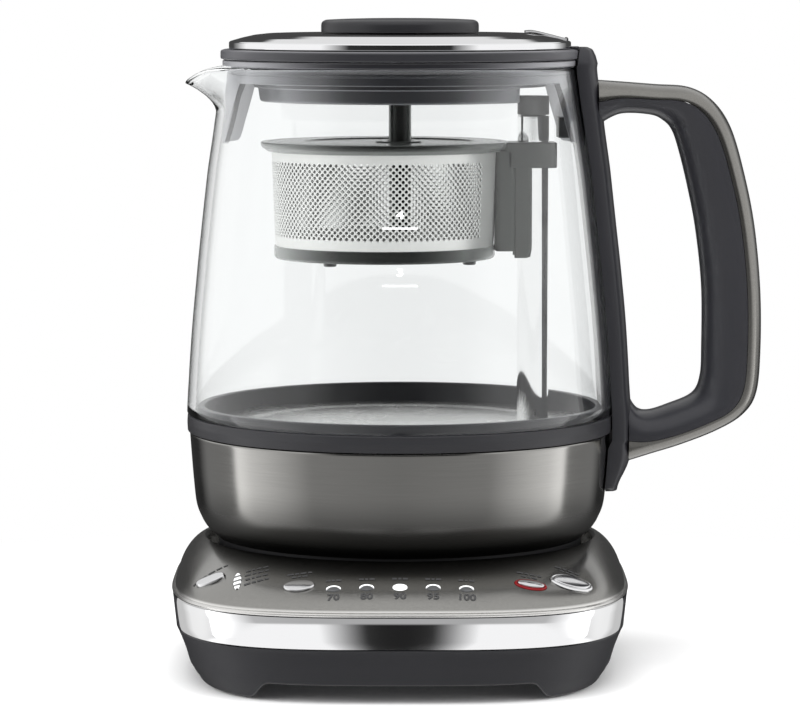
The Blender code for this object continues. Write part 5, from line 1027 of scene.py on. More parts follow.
# Jug band: the charcoal ring that clamps the glass to the shell. Its ledge carries the heater plate, a
# brushed steel disc with a pressed rim, which is the jug's floor.
band_charcoal = moulded("band_charcoal", (0.020, 0.020, 0.0225), 0.36, pitch=0.0005, depth=0.00002,
                        Specular_IOR_Level=0.35)
JUG_BAND_LOW_Z, JUG_BAND_HIGH_Z = 0.0836, 0.0895
jug_band = [(0.0757, JUG_BAND_HIGH_Z), (0.07585, 0.0866), (0.0757, JUG_BAND_LOW_Z), (0.0660, JUG_BAND_LOW_Z),
            (0.0660, 0.0846), (0.0696, 0.0846), (0.0696, 0.0930), (0.0724, 0.0930), (0.0724, JUG_BAND_HIGH_Z)]
fit(turned("jug_band_ring", rounded(jug_band, 0.0005), steps=240), band_charcoal, "jug", "charcoal_plastic",
    "jug_band")
plate_steel = brushed("plate_steel", (0.66, 0.66, 0.65), 0.26, fineness=900.0)
plate_low, plate_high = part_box("heater_plate")
PLATE_RADIUS = 0.0693
plate = [(0.0, plate_high.z - 0.0004), (0.0520, plate_high.z - 0.0004), (0.0560, plate_high.z),
         (0.0660, plate_high.z), (PLATE_RADIUS, plate_high.z), (PLATE_RADIUS, plate_low.z),
         (0.0, plate_low.z)]
fit(turned("heater_plate_disc", rounded(plate, 0.0006)), plate_steel, "jug", "brushed_steel", "heater_plate")


# Glass: a pressed wall, open at both ends, with a fire-polished rim drawn out into the spout. Plain
# numbers and short level lines for 3 and 4 cups are printed on its front.
GLASS_WALL = 0.0029
GLASS_FOOT_Z, GLASS_MOUTH_Z = 0.0898, 0.2127
GLASS_RADII = ((0.0898, 0.0759), (0.1010, 0.0753), (0.1189, 0.0741), (0.1350, 0.0726), (0.1546, 0.0706),
               (0.1759, 0.0682), (0.1944, 0.0655), (0.2060, 0.0638), (0.2127, 0.0630))
SPOUT_REACH, SPOUT_DROP = 0.0129, 0.0046
SPOUT_HALF_ANGLE = math.radians(29)
SPOUT_START_Z = 0.1965
GLASS_STEPS, GLASS_ROWS = 240, 56
RIM_STEPS = 8
GLASS_TINT = (0.975, 0.985, 0.985, 1.0)
LEVEL_MARKS = (("4", 0.1640), ("3", 0.1447))
LEVEL_LINE, LEVEL_LINE_DEPTH, LEVEL_LINE_DROP = 0.0120, 0.0007, 0.0044
LEVEL_NUMBER_SIZE, LEVEL_NUMBER_STRETCH = 0.0037, 1.4
half_wall = GLASS_WALL / 2
top_z, foot_z = GLASS_MOUTH_Z - half_wall, GLASS_FOOT_Z + 0.0006


def glass_point(angle, z, inset, lift=0.0):
    """A point of the glass wall, drawn out into the spout near the mouth."""
    radius = read_curve(GLASS_RADII, z) - inset
    away = abs(math.remainder(angle - math.pi, math.tau)) / SPOUT_HALF_ANGLE
    if away < 1 and z > SPOUT_START_Z:
        sideways = math.cos(away * math.pi / 2) ** 1.6
        rise = (z - SPOUT_START_Z) / (top_z - SPOUT_START_Z)
        radius += SPOUT_REACH * sideways * rise ** 1.45
        z -= SPOUT_DROP * sideways ** 3.2 * rise ** 1.5
    return (radius * math.cos(angle), radius * math.sin(angle), z + lift)


glass_rings = []
glass_turns = [math.tau * index / GLASS_STEPS for index in range(GLASS_STEPS)]
heights = [foot_z + (top_z - foot_z) * (1 - (1 - row / GLASS_ROWS) ** 1.4) for row in range(GLASS_ROWS + 1)]
for z in heights:
    glass_rings.append([glass_point(a, z, 0.0) for a in glass_turns])
for step in range(1, RIM_STEPS):
    bend = math.pi * step / RIM_STEPS
    inset, lift = half_wall * (1 - math.cos(bend)), half_wall * math.sin(bend)
    glass_rings.append([glass_point(a, top_z, inset, lift) for a in glass_turns])
for z in reversed(heights):
    glass_rings.append([glass_point(a, z, GLASS_WALL) for a in glass_turns])
for inset in (GLASS_WALL - 0.0004, 0.0004):
    glass_rings.append([glass_point(a, GLASS_FOOT_Z, inset) for a in glass_turns])
glass = skin("glass_wall", glass_rings, closed=True)
clear, tree, shader = new_finish("clear_glass", Base_Color=GLASS_TINT, Roughness=0.0, IOR=1.47,
                                 Transmission_Weight=1.0, Specular_IOR_Level=0.5)
# painted shade: where the wall is seen edge on, its tint is painted dark grey, giving the glass dark outlines
edge_on = tree.nodes.new("ShaderNodeLayerWeight")
edge_on.inputs["Blend"].default_value = 0.5
painted_dark_edge = smooth_range(tree, edge_on.outputs["Facing"], 0.74, 0.93)
painted_edge_tint = colour_mix(tree, painted_dark_edge, GLASS_TINT, (0.16, 0.17, 0.17, 1.0))
tree.links.new(painted_edge_tint, shader.inputs["Base Color"])
relief(tree, shader, noise(tree, 24.0), 0.02, 0.0004)
see_through = tree.nodes.new("ShaderNodeBsdfTransparent")
see_through.inputs["Color"].default_value = (0.93, 0.94, 0.94, 1.0)
path = tree.nodes.new("ShaderNodeLightPath")
soft = maths(tree, "MAXIMUM", path.outputs["Is Shadow Ray"], path.outputs["Is Diffuse Ray"])
mix_surfaces(tree, soft, shader.outputs["BSDF"], see_through.outputs["BSDF"])
fit(glass, clear, "jug", "clear_glass", "glass_vessel")


def on_glass(x, z):
    """A point just in front of the glass, on its camera side."""
    radius = read_curve(GLASS_RADII, z) + INK_LIFT
    return (x, -math.sqrt(radius ** 2 - x ** 2), z)


cup_marks = []
for label, z in LEVEL_MARKS:
    cup_marks.append((number_mesh(label, LEVEL_NUMBER_SIZE, LEVEL_NUMBER_STRETCH), 0.0, z, 0.0))
    cup_marks.append((dash_mesh((LEVEL_LINE,), LEVEL_LINE_DEPTH, cuts=12), 0.0, z - LEVEL_LINE_DROP, 0.0))
enamel = moulded("level_enamel", (0.86, 0.87, 0.87), 0.45, clouding=0.05)
fit(printed("level_print", cup_marks, on_glass), enamel, "jug", "clear_glass")


# Collar: one grey moulding pressed into the mouth. A tongue runs down inside the glass at the spout and
# another at the handle, and lets the tea past without drips.
COLLAR_STEPS = 240
TONGUE_TOP, TONGUE_FOOT = math.radians(25), math.radians(18.8)
TONGUE_LEAN = 0.0034
TONGUE_ROWS = 10
TONGUE_CORNER, CORNER_START_SHARE = 0.0012, 0.82
collar_low, collar_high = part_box("jug_collar")
COLLAR_SKIRT_RADIUS, COLLAR_BORE_RADIUS = 0.0598, 0.0577
COLLAR_BOTTOM_Z = 0.2070
collar_turns = [math.tau * index / COLLAR_STEPS for index in range(COLLAR_STEPS)]


def collar_edge(angle, radius, rise=0.0):
    """The lower edge of the collar's skirt, with its two tongues."""
    away = min(abs(math.remainder(angle, math.tau)), abs(math.remainder(angle - math.pi, math.tau)))
    reach = min(1.0, max(0.0, (TONGUE_TOP - away) / (TONGUE_TOP - TONGUE_FOOT)))
    corner = TONGUE_CORNER
    if reach >= 1.0:
        along_foot = (away / TONGUE_FOOT - CORNER_START_SHARE) / (1 - CORNER_START_SHARE)
        corner *= min(1.0, max(0.0, along_foot)) ** 2
    z = COLLAR_BOTTOM_Z + (collar_low.z - COLLAR_BOTTOM_Z) * reach + corner * reach + rise
    out_by = TONGUE_LEAN * reach
    return ((radius + out_by) * math.cos(angle), (radius + out_by) * math.sin(angle), z)


def level_ring(radius, z):
    """A level ring of the collar."""
    return [(radius * math.cos(a), radius * math.sin(a), z) for a in collar_turns]


mouth_seat = GLASS_MOUTH_Z + 0.0003
skirt, bore = COLLAR_SKIRT_RADIUS, COLLAR_BORE_RADIUS
collar_rings = [level_ring(*point) for point in (
    (bore + 0.0003, collar_high.z), (0.0625, collar_high.z), (0.0628, collar_high.z - 0.0003),
    (0.0628, mouth_seat + 0.0002), (0.0626, mouth_seat), (skirt, mouth_seat), (skirt, 0.2103),
    (skirt - 0.0003, 0.2102), (skirt - 0.0003, 0.2099), (skirt, 0.2098))]
upper_z = COLLAR_BOTTOM_Z + 0.002
for row in range(1, TONGUE_ROWS):
    share = row / TONGUE_ROWS
    ring = []
    for a in collar_turns:
        low = collar_edge(a, skirt)
        radius = skirt + (math.hypot(low[0], low[1]) - skirt) * share
        ring.append((radius * math.cos(a), radius * math.sin(a), upper_z + (low[2] - upper_z) * share))
    collar_rings.append(ring)
for inside, rise in ((0.0003, -0.0001), (0.0015, -0.0001), (0.0018, 0.0003)):
    collar_rings.append([collar_edge(a, skirt - inside, rise) for a in collar_turns])
collar_rings += [level_ring(*point) for point in (
    (bore, upper_z), (bore, 0.2094), (bore - 0.0001, 0.2096), (bore - 0.0001, 0.2100), (bore, 0.2102),
    (bore, collar_high.z - 0.0003))]
collar = even_shading(skin("collar_moulding", collar_rings, closed=True))


def painted_sheen(name, facing_colour, painted_sheen_colour, start, end, roughness, **sockets):
    """A satin metallic plastic, dark face on, with a painted sheen: its colour is painted lighter where it
    turns away.
    """
    made = moulded(name, facing_colour, roughness, pitch=0.0006, depth=0.00002, **sockets)
    tree, shader = opened(made)
    turned_away = tree.nodes.new("ShaderNodeLayerWeight")
    turned_away.inputs["Blend"].default_value = 0.5
    share = smooth_range(tree, turned_away.outputs["Facing"], start, end)
    recolour(tree, shader, share, (*painted_sheen_colour, 1.0))
    return made


def slab(name, plan, heights):
    """A plan of (x, y) points carried up through level sections."""
    return skin(name, [[(x, y, z) for x, y in plan] for z in heights])


# painted sheen: the collar's colour is painted lighter where it turns away
collar_grey = painted_sheen("collar_grey", (0.026, 0.026, 0.030), (0.42, 0.42, 0.44), 0.0, 0.66, 0.34, Metallic=0.6,
                      Specular_IOR_Level=0.3)
clip_plan = ((0.0560, -0.0070), (0.0612, -0.0070), (0.0612, 0.0070), (0.0560, 0.0070))
clip = slab("collar_clip", rounded(clip_plan, 0.0012), (0.1876, 0.1947))
fit(even_shading(clip), connector_black, "jug", "grey_plastic", "jug_collar")
fit(collar, collar_grey, "jug", "grey_plastic", "jug_collar")


# Handle strap: a glass-filled charcoal moulding up the outside of the glass, screwed to the shell. Its
# top narrows beside the lid's ring and stays clear of it. The handle is moulded on to the strap.
STRAP_HALF_WIDTH = 0.0140
LID_RING_RADIUS, BAND_SEAT_RADIUS = 0.0635, 0.0759
STRAP_GAP = 0.00045          # between the strap and what it lies against
STRAP_EDGE = 0.0010          # thickness of its two long edges
STRAP_SQUARENESS = 2.6
STRAP_ROWS, STRAP_FACETS = 110, 36
STRAP_STRAIGHT_Z = 0.0796    # below this its levels are measured from the shell's top edge
TOP_NARROWING, FOOT_NARROWING = 0.35, 0.25
STRAP_LEVELS = ((0.0623, 0.0022), (0.0651, 0.0029), (0.0694, 0.0051), (0.0730, 0.0065), (0.0764, 0.0071),
                (0.0811, 0.0065), (0.0898, 0.0063), (0.0961, 0.0059), (0.1291, 0.0061), (0.1645, 0.0059),
                (0.1912, 0.0061), (0.2076, 0.0062), (0.2130, 0.0061), (0.2170, 0.0051), (0.2188, 0.0040),
                (0.2194, 0.0026))
strap_low, strap_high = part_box("handle_strap")


def strap_seat(z):
    """Radius of the jug's outside under the strap."""
    glass_radius = read_curve(GLASS_RADII, z)
    radius = glass_radius + (LID_RING_RADIUS - glass_radius) * eased(z, 0.2120, 0.2132)
    over_band = eased(z, JUG_BAND_HIGH_Z - 0.0004, JUG_BAND_HIGH_Z + 0.0004)
    radius = BAND_SEAT_RADIUS + (radius - BAND_SEAT_RADIUS) * over_band
    on_shell = read_curve([(height, reach) for reach, height in SHELL_POINTS], z)
    return on_shell + (radius - on_shell) * eased(z, 0.0790, 0.0800) + STRAP_GAP


strap_length = strap_high.z - strap_low.z
strap_heights = [strap_low.z + strap_length * index / STRAP_ROWS for index in range(STRAP_ROWS + 1)]
strap_heights = sorted({*strap_heights, 0.2185, 0.2189, 0.2192})
sections = []
for z in strap_heights:
    seat = strap_seat(z)
    narrowing = max(0.0, (z - GLASS_MOUTH_Z) / (strap_high.z - GLASS_MOUTH_Z)) ** 2
    at_foot = eased(z, 0.0640, 0.0623)
    half = STRAP_HALF_WIDTH * (1 - TOP_NARROWING * narrowing) * (1 - FOOT_NARROWING * at_foot)
    places = [half * (1 - 2 * index / STRAP_FACETS) for index in range(STRAP_FACETS + 1)]
    section = [(math.sqrt(seat ** 2 - y ** 2), y, z) for y in places]
    edge = math.sqrt(seat ** 2 - half ** 2) + STRAP_EDGE
    inner = seat if z > STRAP_STRAIGHT_Z else SHELL_TOP_RADIUS + STRAP_GAP
    outer = inner + read_curve(STRAP_LEVELS, z)
    for y in reversed(places):
        crown = max(0.0, 1 - abs(y / half) ** STRAP_SQUARENESS) ** (1 / STRAP_SQUARENESS)
        section.append((edge + (outer - edge) * crown, y, z))
    sections.append(section)
strap = skin("handle_strap_frame", sections)
strap_black = moulded("strap_charcoal", (0.017, 0.017, 0.020), 0.34, pitch=0.0005, depth=0.00002,
                      Specular_IOR_Level=0.35)
fit(even_shading(strap), strap_black, "jug", "charcoal_plastic", "handle_strap")


# Handle: a lacquered metal trim runs along its outside, and the fingers close on a soft dark grip that
# is moulded against the trim, with a fine seam between the two.

# outer x and z, inner x and z, and the trim's share of the depth, from the top of the handle to its foot
HANDLE_POINTS = (
    (0.0700, 0.2079, 0.0700, 0.1918, 0.46),
    (0.0786, 0.2073, 0.0779, 0.1959, 0.48),
    (0.0902, 0.2064, 0.0886, 0.1956, 0.47),
    (0.1022, 0.2054, 0.0936, 0.1933, 0.38),
    (0.1106, 0.2007, 0.0966, 0.1896, 0.32),
    (0.1170, 0.1915, 0.0990, 0.1823, 0.29),
    (0.1218, 0.1759, 0.1019, 0.1706, 0.27),
    (0.1258, 0.1565, 0.1049, 0.1554, 0.26),
    (0.1281, 0.1332, 0.1072, 0.1350, 0.26),
    (0.1283, 0.1117, 0.1074, 0.1135, 0.26),
    (0.1269, 0.0968, 0.1069, 0.1025, 0.27),
    (0.1221, 0.0891, 0.1039, 0.0963, 0.28),
    (0.1129, 0.0834, 0.0952, 0.0924, 0.30),
    (0.1001, 0.0783, 0.0886, 0.0904, 0.31),
    (0.0894, 0.0749, 0.0844, 0.0913, 0.32),
    (0.0812, 0.0722, 0.0812, 0.0960, 0.34),
)
HANDLE_HALF_WIDTH, HANDLE_END_HALF_WIDTH = 0.0132, 0.0118
HANDLE_SQUARENESS = 2.35
HANDLE_FACETS = 30
SEAM_WIDTH = 0.00018


def half_section(flat, crown, half_width, power):
    """A D-shaped section, flat across one point and crowned towards the other, with a small flat edge."""
    points = []
    for index in range(HANDLE_FACETS + 1):
        a = math.pi * index / HANDLE_FACETS
        side = math.copysign(abs(math.cos(a)) ** (2 / power), math.cos(a))
        rise = math.sin(a) ** (2 / power) if 0 < index < HANDLE_FACETS else 0.0
        spot = flat.lerp(crown, rise)
        points.append((spot.x, half_width * side, spot.z))
    for index in range(1, 6):
        points.append((flat.x, half_width * (2 * index / 6 - 1), flat.z))
    return points


grip_sections, trim_sections = [], []
stations = smooth_path(HANDLE_POINTS, 9)
for index, (ox, oz, ix, iz, share) in enumerate(stations):
    outer, inner = Vector((ox, 0.0, oz)), Vector((ix, 0.0, iz))
    end = abs(2 * index / (len(stations) - 1) - 1) ** 3
    half = HANDLE_HALF_WIDTH + (HANDLE_END_HALF_WIDTH - HANDLE_HALF_WIDTH) * end
    split = outer.lerp(inner, share)
    gap = (inner - outer).normalized() * SEAM_WIDTH
    grip_sections.append(half_section(split + gap, inner, half, HANDLE_SQUARENESS))
    trim_sections.append(half_section(split, outer, half, HANDLE_SQUARENESS))
grip = skin("handle_soft_grip", grip_sections)
grip_soft = moulded("soft_touch", (0.024, 0.024, 0.028), 0.30, pitch=0.0006, clouding=0.08, depth=0.00003,
                    Specular_IOR_Level=0.4)
fit(even_shading(grip), grip_soft, "jug", "soft_grip", "handle_grip")
trim = skin("handle_metal_trim", trim_sections)
# painted shade: the trim's lacquer is painted darker than the same lacquer on the cover and shell
trim_paint_painted_darker = hickory("hickory_trim", 0.26, colour=(0.250, 0.243, 0.228))
fit(even_shading(trim), trim_paint_painted_darker, "jug", "hickory_metal", "handle_trim")


# Lift post: a polished steel tube on the jug's floor, with a grey cap pressed into its top. A magnet
# carrier runs up and down inside it on the lift motor's line.
POST_X, POST_RADIUS = 0.0473, 0.00565
post_low, post_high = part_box("lift_post")
post_steel = polished("post_steel", (0.93, 0.93, 0.93), 0.05)
post = [(POST_RADIUS, post_high.z), (POST_RADIUS, post_low.z), (0.0046, post_low.z), (0.0046, post_high.z)]
post_tube = turned("lift_post_tube", rounded(post, 0.0003), POST_X, 96)
fit(post_tube, post_steel, "jug", "polished_steel", "lift_post")
cap_low, cap_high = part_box("post_cap")
cap_foot = post_high.z + 0.0003
cap = [(0.0, cap_high.z), (POST_RADIUS, cap_high.z), (POST_RADIUS, cap_foot), (0.0043, cap_foot),
       (0.0043, cap_low.z), (0.0, cap_low.z)]
cap_grey = moulded("cap_grey", (0.11, 0.11, 0.11), 0.34, pitch=0.0005, Specular_IOR_Level=0.4)
post_cap = turned("post_cap_moulding", rounded(cap, 0.0004), POST_X, 96)
fit(post_cap, cap_grey, "jug", "grey_plastic", "post_cap")


# Basket: a cup of perforated steel sheet, rolled and welded, with a pressed floor. Its holes stand in
# slanting rows; the side by the arm is left plain.
BASKET_X = -0.0055
cup_low, cup_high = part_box("basket_cup")
CUP_RADIUS = 0.0393          # halfway up
CUP_TOP_RADIUS, CUP_FOOT_RADIUS = 0.0401, 0.0386
CUP_SHEET = 0.0005
HOLE_COLUMNS = 112
HOLE_RADIUS = 0.00060
HOLE_BAND_LOW_Z = 0.1536
HOLE_ROWS = 24
PLAIN_HALF_ANGLE = math.radians(32)
FLOOR_CORNER = 0.0012
PLAIN_FOOT_Z = 0.1505


def cup_radius(z):
    """The cup's radius at a height."""
    return CUP_TOP_RADIUS + (CUP_FOOT_RADIUS - CUP_TOP_RADIUS) * (cup_high.z - z) / (cup_high.z - cup_low.z)


def cup_point(turn_by, z):
    """A point on the cup's wall."""
    radius = cup_radius(z)
    return (BASKET_X + radius * math.cos(turn_by), radius * math.sin(turn_by), z)


half_turn = math.pi / HOLE_COLUMNS           # half the pitch, round the cup
half_pitch = half_turn * CUP_RADIUS
cup_shape = bmesh.new()
spots = {}


def cup_vertex(column, row):
    """A vertex of the sheet by its place in half pitches, made once."""
    column %= 2 * HOLE_COLUMNS
    key = (round(column * 4) % (8 * HOLE_COLUMNS), round(row * 4))
    if key not in spots:
        spots[key] = cup_shape.verts.new(cup_point(column * half_turn, HOLE_BAND_LOW_Z + row * half_pitch))
    return spots[key]


def diamond_edge(column, row):
    """Corners and edge middles of a cell, anticlockwise as seen from outside."""
    steps = ((1, 0), (0.5, 0.5), (0, 1), (-0.5, 0.5), (-1, 0), (-0.5, -0.5), (0, -1), (0.5, -0.5))
    return [cup_vertex(column + across, row + up) for across, up in steps]


for row in range(HOLE_ROWS):
    for cell in range(HOLE_COLUMNS):
        column = 2 * cell + row % 2
        edge = diamond_edge(column, row)
        turn_by = math.remainder(column * half_turn, math.tau)
        if abs(turn_by) < PLAIN_HALF_ANGLE:
            cup_shape.faces.new(edge)
            continue
        middle_z = HOLE_BAND_LOW_Z + row * half_pitch
        hole = []
        for corner in range(8):
            a = math.tau * corner / 8
            hole.append(cup_shape.verts.new(cup_point(turn_by + HOLE_RADIUS * math.cos(a) / CUP_RADIUS,
                                                      middle_z + HOLE_RADIUS * math.sin(a))))
        for corner in range(8):
            after = (corner + 1) % 8
            cup_shape.faces.new((edge[corner], edge[after], hole[after], hole[corner]))
top_row, low_row = HOLE_ROWS, -1
# half cells close the band of holes to a level edge at its top and at its foot
for cell in range(HOLE_COLUMNS):
    column = 2 * cell + (HOLE_ROWS - 1) % 2
    steps = ((0, 0), (0.5, -0.5), (1, -1), (1.5, -0.5), (2, 0))
    cup_shape.faces.new([cup_vertex(column + across, top_row + up) for across, up in steps])
    column = 2 * cell
    steps = ((2, 0), (1.5, 0.5), (1, 1), (0.5, 0.5), (0, 0))
    cup_shape.faces.new([cup_vertex(column + across, low_row + up) for across, up in steps])
top_edge = [cup_vertex(2 * cell + (HOLE_ROWS - 1) % 2, top_row) for cell in range(HOLE_COLUMNS)]
low_edge = [cup_vertex(2 * cell, low_row) for cell in range(HOLE_COLUMNS)]


def grow(edge, places):
    """Carries an edge of the sheet on through further rings."""
    turns = [math.atan2(vertex.co.y, vertex.co.x - BASKET_X) for vertex in edge]
    for radius, z in places:
        points = [(BASKET_X + radius * math.cos(a), radius * math.sin(a), z) for a in turns]
        fresh = [cup_shape.verts.new(point) for point in points]
        for here in range(len(edge)):
            after = (here + 1) % len(edge)
            cup_shape.faces.new((edge[here], edge[after], fresh[after], fresh[here]))
        edge = fresh
    return edge


grow(top_edge, [(cup_radius(z), z) for z in (0.1812, 0.1826, cup_high.z - 0.0002)])
floor_radius = cup_radius(cup_low.z)
bend = [(floor_radius - FLOOR_CORNER * (1 - math.cos(a)), cup_low.z + FLOOR_CORNER * (1 - math.sin(a)))
        for a in (math.pi / 2 * step / 5 for step in range(6))]
floor_z = cup_low.z + 0.0006
pressed_floor = [(0.0330, cup_low.z), (0.0322, floor_z), (0.0200, floor_z), (0.0100, floor_z)]
floor_edge = grow(low_edge, [(cup_radius(PLAIN_FOOT_Z), PLAIN_FOOT_Z), *bend, *pressed_floor])
cup_shape.faces.new(floor_edge)
bmesh.ops.recalc_face_normals(cup_shape, faces=cup_shape.faces)
cup_mesh = bpy.data.meshes.new("basket_cup_sheet")
cup_shape.to_mesh(cup_mesh)
cup_shape.free()
cup_mesh.shade_smooth()
cup = placed_piece("basket_cup_sheet", cup_mesh)
sheet = cup.modifiers.new("sheet", "SOLIDIFY")
sheet.thickness = CUP_SHEET
sheet.offset = -1.0
sheet.use_even_offset = True
cup_steel = brushed("basket_steel", (0.86, 0.86, 0.84), 0.38, contrast=0.08, fineness=3000.0, metallic=0.75)
fit(cup, cup_steel, "basket", "brushed_steel", "basket_cup")


# Basket rim, foot ring and lid: charcoal mouldings snapped on to the cup. The rim flares out at the top,
# the lid drops inside it and leaves the middle open for the lid's stem, and the foot ring has small feet.
# painted sheen: the basket mouldings are painted lighter where they turn away
basket_charcoal = painted_sheen("basket_charcoal", (0.016, 0.017, 0.016), (0.30, 0.31, 0.30), 0.0, 0.75, 0.24,
                          Metallic=0.5, Specular_IOR_Level=0.3)
rim_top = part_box("basket_rim")[1].z
rim = [(0.0412, rim_top), (0.0438, rim_top), (0.0440, rim_top - 0.0009), (0.0435, rim_top - 0.0020),
       (0.0420, 0.1832), (0.0414, 0.1827), (0.0397, 0.1827), (0.0397, 0.1845), (0.0412, 0.1845)]
fit(turned("basket_rim_moulding", rounded(rim, 0.0005), BASKET_X), basket_charcoal, "basket",
    "charcoal_plastic", "basket_rim")
ledge_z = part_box("basket_base_ring")[1].z
RING_TOP_Z, RING_FOOT_Z = 0.1494, 0.1449
foot_ring = [(0.0392, RING_TOP_Z), (0.0392, RING_FOOT_Z + 0.0008), (0.0386, RING_FOOT_Z),
             (0.0352, RING_FOOT_Z), (0.0350, RING_FOOT_Z + 0.0004), (0.0350, ledge_z), (0.0383, ledge_z),
             (0.0383, RING_TOP_Z)]
base_ring = turned("basket_base_moulding", rounded(foot_ring, 0.0004), BASKET_X)
fit(base_ring, basket_charcoal, "basket", "charcoal_plastic", "basket_base_ring")
stub = rounded([(0.0, RING_FOOT_Z + 0.0002), (0.0024, RING_FOOT_Z + 0.0002), (0.0022, RING_FOOT_Z - 0.0012),
                (0.0, RING_FOOT_Z - 0.0012)], 0.0004, 3)
stubs = []
for spot_x, spot_y in ((-0.0242, -0.0300), (0.0242, -0.0205), (-0.0242, 0.0300), (0.0242, 0.0205)):
    foot = turned("basket_foot", stub, steps=32)
    foot.data.transform(Matrix.Translation((spot_x, spot_y, 0.0)))
    stubs.append(foot)
fit(joined("basket_small_feet", stubs), basket_charcoal, "basket", "charcoal_plastic", "basket_base_ring")
cover_low_z, cover_high_z = (corner.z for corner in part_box("basket_lid"))
STEM_OPENING, BASKET_LID_RADIUS = 0.0050, 0.0409
basket_cover = [(STEM_OPENING, cover_high_z), (0.0080, cover_high_z), (0.0086, cover_high_z - 0.0005),
                (0.0300, cover_high_z - 0.0005), (0.0306, cover_high_z), (0.0405, cover_high_z),
                (BASKET_LID_RADIUS, cover_high_z - 0.0004), (BASKET_LID_RADIUS, cover_low_z),
                (STEM_OPENING, cover_low_z)]


def cover_ring_at(radius, z):
    """A ring of the basket's lid, which slides over from the stem's axis to the basket's."""
    over = (radius - STEM_OPENING) / (BASKET_LID_RADIUS - STEM_OPENING)
    return [(BASKET_X * over + radius * math.cos(a), radius * math.sin(a), z)
            for a in (math.tau * index / 160 for index in range(160))]


lid_rings = [cover_ring_at(*point) for point in rounded(basket_cover, 0.0003, 3)]
lid_of_basket = skin("basket_lid_moulding", lid_rings, closed=True)
fit(even_shading(lid_of_basket), basket_charcoal, "basket_cover", "charcoal_plastic", "basket_lid")


# Basket arm: the charcoal bracket that carries the basket. Its clamp rides on the post, and below the
# clamp two hooks reach towards the post, one on each side.
ARM_HALF_WIDTH = 0.0088
CLAMP_BORE_RADIUS = 0.00605
HOOK_TOP_Z, HOOK_TIP_X, HOOK_HALF_WIDTH = 0.1777, 0.0462, 0.0011


def rounded_plan(low_x, high_x, half_y, corner, facets=6):
    """A rounded rectangle seen from above, anticlockwise."""
    points = []
    left, right, back = low_x + corner, high_x - corner, half_y - corner
    corners = ((right, back, 0.0), (left, back, 90.0), (left, -back, 180.0), (right, -back, 270.0))
    for middle_x, middle_y, start in corners:
        for step in range(facets + 1):
            a = math.radians(start + 90.0 * step / facets)
            points.append((middle_x + corner * math.cos(a), middle_y + corner * math.sin(a)))
    return points


def broken_edges(piece, width):
    """Rounds a piece's sharp edges a little and evens its shading."""
    bevel = piece.modifiers.new("broken_edges", "BEVEL")
    bevel.width = width
    bevel.segments = 3
    bevel.limit_method = "ANGLE"
    bevel.angle_limit = math.radians(50)
    return even_shading(piece)


arm_low, arm_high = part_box("basket_arm")
# painted light: the charcoal arm is coloured a lighter greenish grey than the other charcoal mouldings, for
# the light the glass in front lays over it
arm_grey_painted_lighter = moulded("arm_grey_painted_lighter", (0.050, 0.054, 0.050), 0.30, pitch=0.0005, depth=0.00002,
                   Specular_IOR_Level=0.35)
arm_block = slab("basket_arm_block", rounded_plan(0.0336, 0.04125, ARM_HALF_WIDTH, 0.0022), (0.1475, 0.1832))
fit(broken_edges(arm_block, 0.0005), arm_grey_painted_lighter, "basket", "charcoal_plastic", "basket_arm")
clamp_plan = rounded_plan(0.0358, arm_high.x - JUG_AXIS.x, ARM_HALF_WIDTH, 0.0026, 12)
bore = []
for x, y in clamp_plan:
    a = math.atan2(y, x - POST_X)
    bore.append((POST_X + CLAMP_BORE_RADIUS * math.cos(a), CLAMP_BORE_RADIUS * math.sin(a)))
clamp_low_z, clamp_high_z = 0.1769, arm_high.z
clamp_rings = [[(x, y, z) for x, y in plan] for plan, z in (
    (bore, clamp_low_z), (clamp_plan, clamp_low_z), (clamp_plan, clamp_high_z), (bore, clamp_high_z))]
clamp = skin("basket_arm_clamp", clamp_rings, closed=True)
fit(broken_edges(clamp, 0.0004), arm_grey_painted_lighter, "basket", "charcoal_plastic", "basket_arm")
for name, side in (("basket_hook_front", -1), ("basket_hook_back", 1)):
    sections = []
    for step in range(13):
        share = step / 12
        z = HOOK_TOP_Z + (arm_low.z - HOOK_TOP_Z) * share
        tip = HOOK_TIP_X - 0.0012 * eased(share, 0.9, 1.0)
        middle_y = side * (ARM_HALF_WIDTH - HOOK_HALF_WIDTH)
        plan = rounded_plan(0.0404, tip, HOOK_HALF_WIDTH, 0.0007, 4)
        sections.append([(x, middle_y + y, z) for x, y in plan])
    fit(even_shading(skin(name, sections)), arm_grey_painted_lighter, "basket", "charcoal_plastic", "basket_arm")


# Lid ring and plate: a charcoal ring sits on the collar, and over it lies a spun plate of polished
# steel with an upright edge and a sloping shoulder.
ring_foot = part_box("lid_ring")[0].z
LID_RING_TOP_Z = 0.2188
LID_PLATE_RADIUS = 0.0605
# painted sheen: the ring is painted a little lighter where it turns away
ring_charcoal = painted_sheen("ring_charcoal", (0.018, 0.018, 0.021), (0.075, 0.075, 0.082), 0.05, 0.85, 0.30,
                        Specular_IOR_Level=0.4)
lid_ring = [(0.0500, LID_RING_TOP_Z), (0.0622, LID_RING_TOP_Z), (0.0633, LID_RING_TOP_Z - 0.0004),
            (LID_RING_RADIUS, LID_RING_TOP_Z - 0.0009), (LID_RING_RADIUS, ring_foot + 0.0004),
            (0.0631, ring_foot), (0.0500, ring_foot)]
fit(turned("lid_ring_moulding", rounded(lid_ring, 0.0004), steps=240), ring_charcoal, "lid",
    "charcoal_plastic", "lid_ring")
pad = slab("lid_ring_pad", rounded_plan(0.0607, 0.0634, 0.0100, 0.0009), (LID_RING_TOP_Z - 0.0003, 0.2196))
fit(even_shading(pad), ring_charcoal, "lid", "charcoal_plastic", "lid_ring")
lid_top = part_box("lid_plate")[1].z
plate_foot = LID_RING_TOP_Z + 0.0002
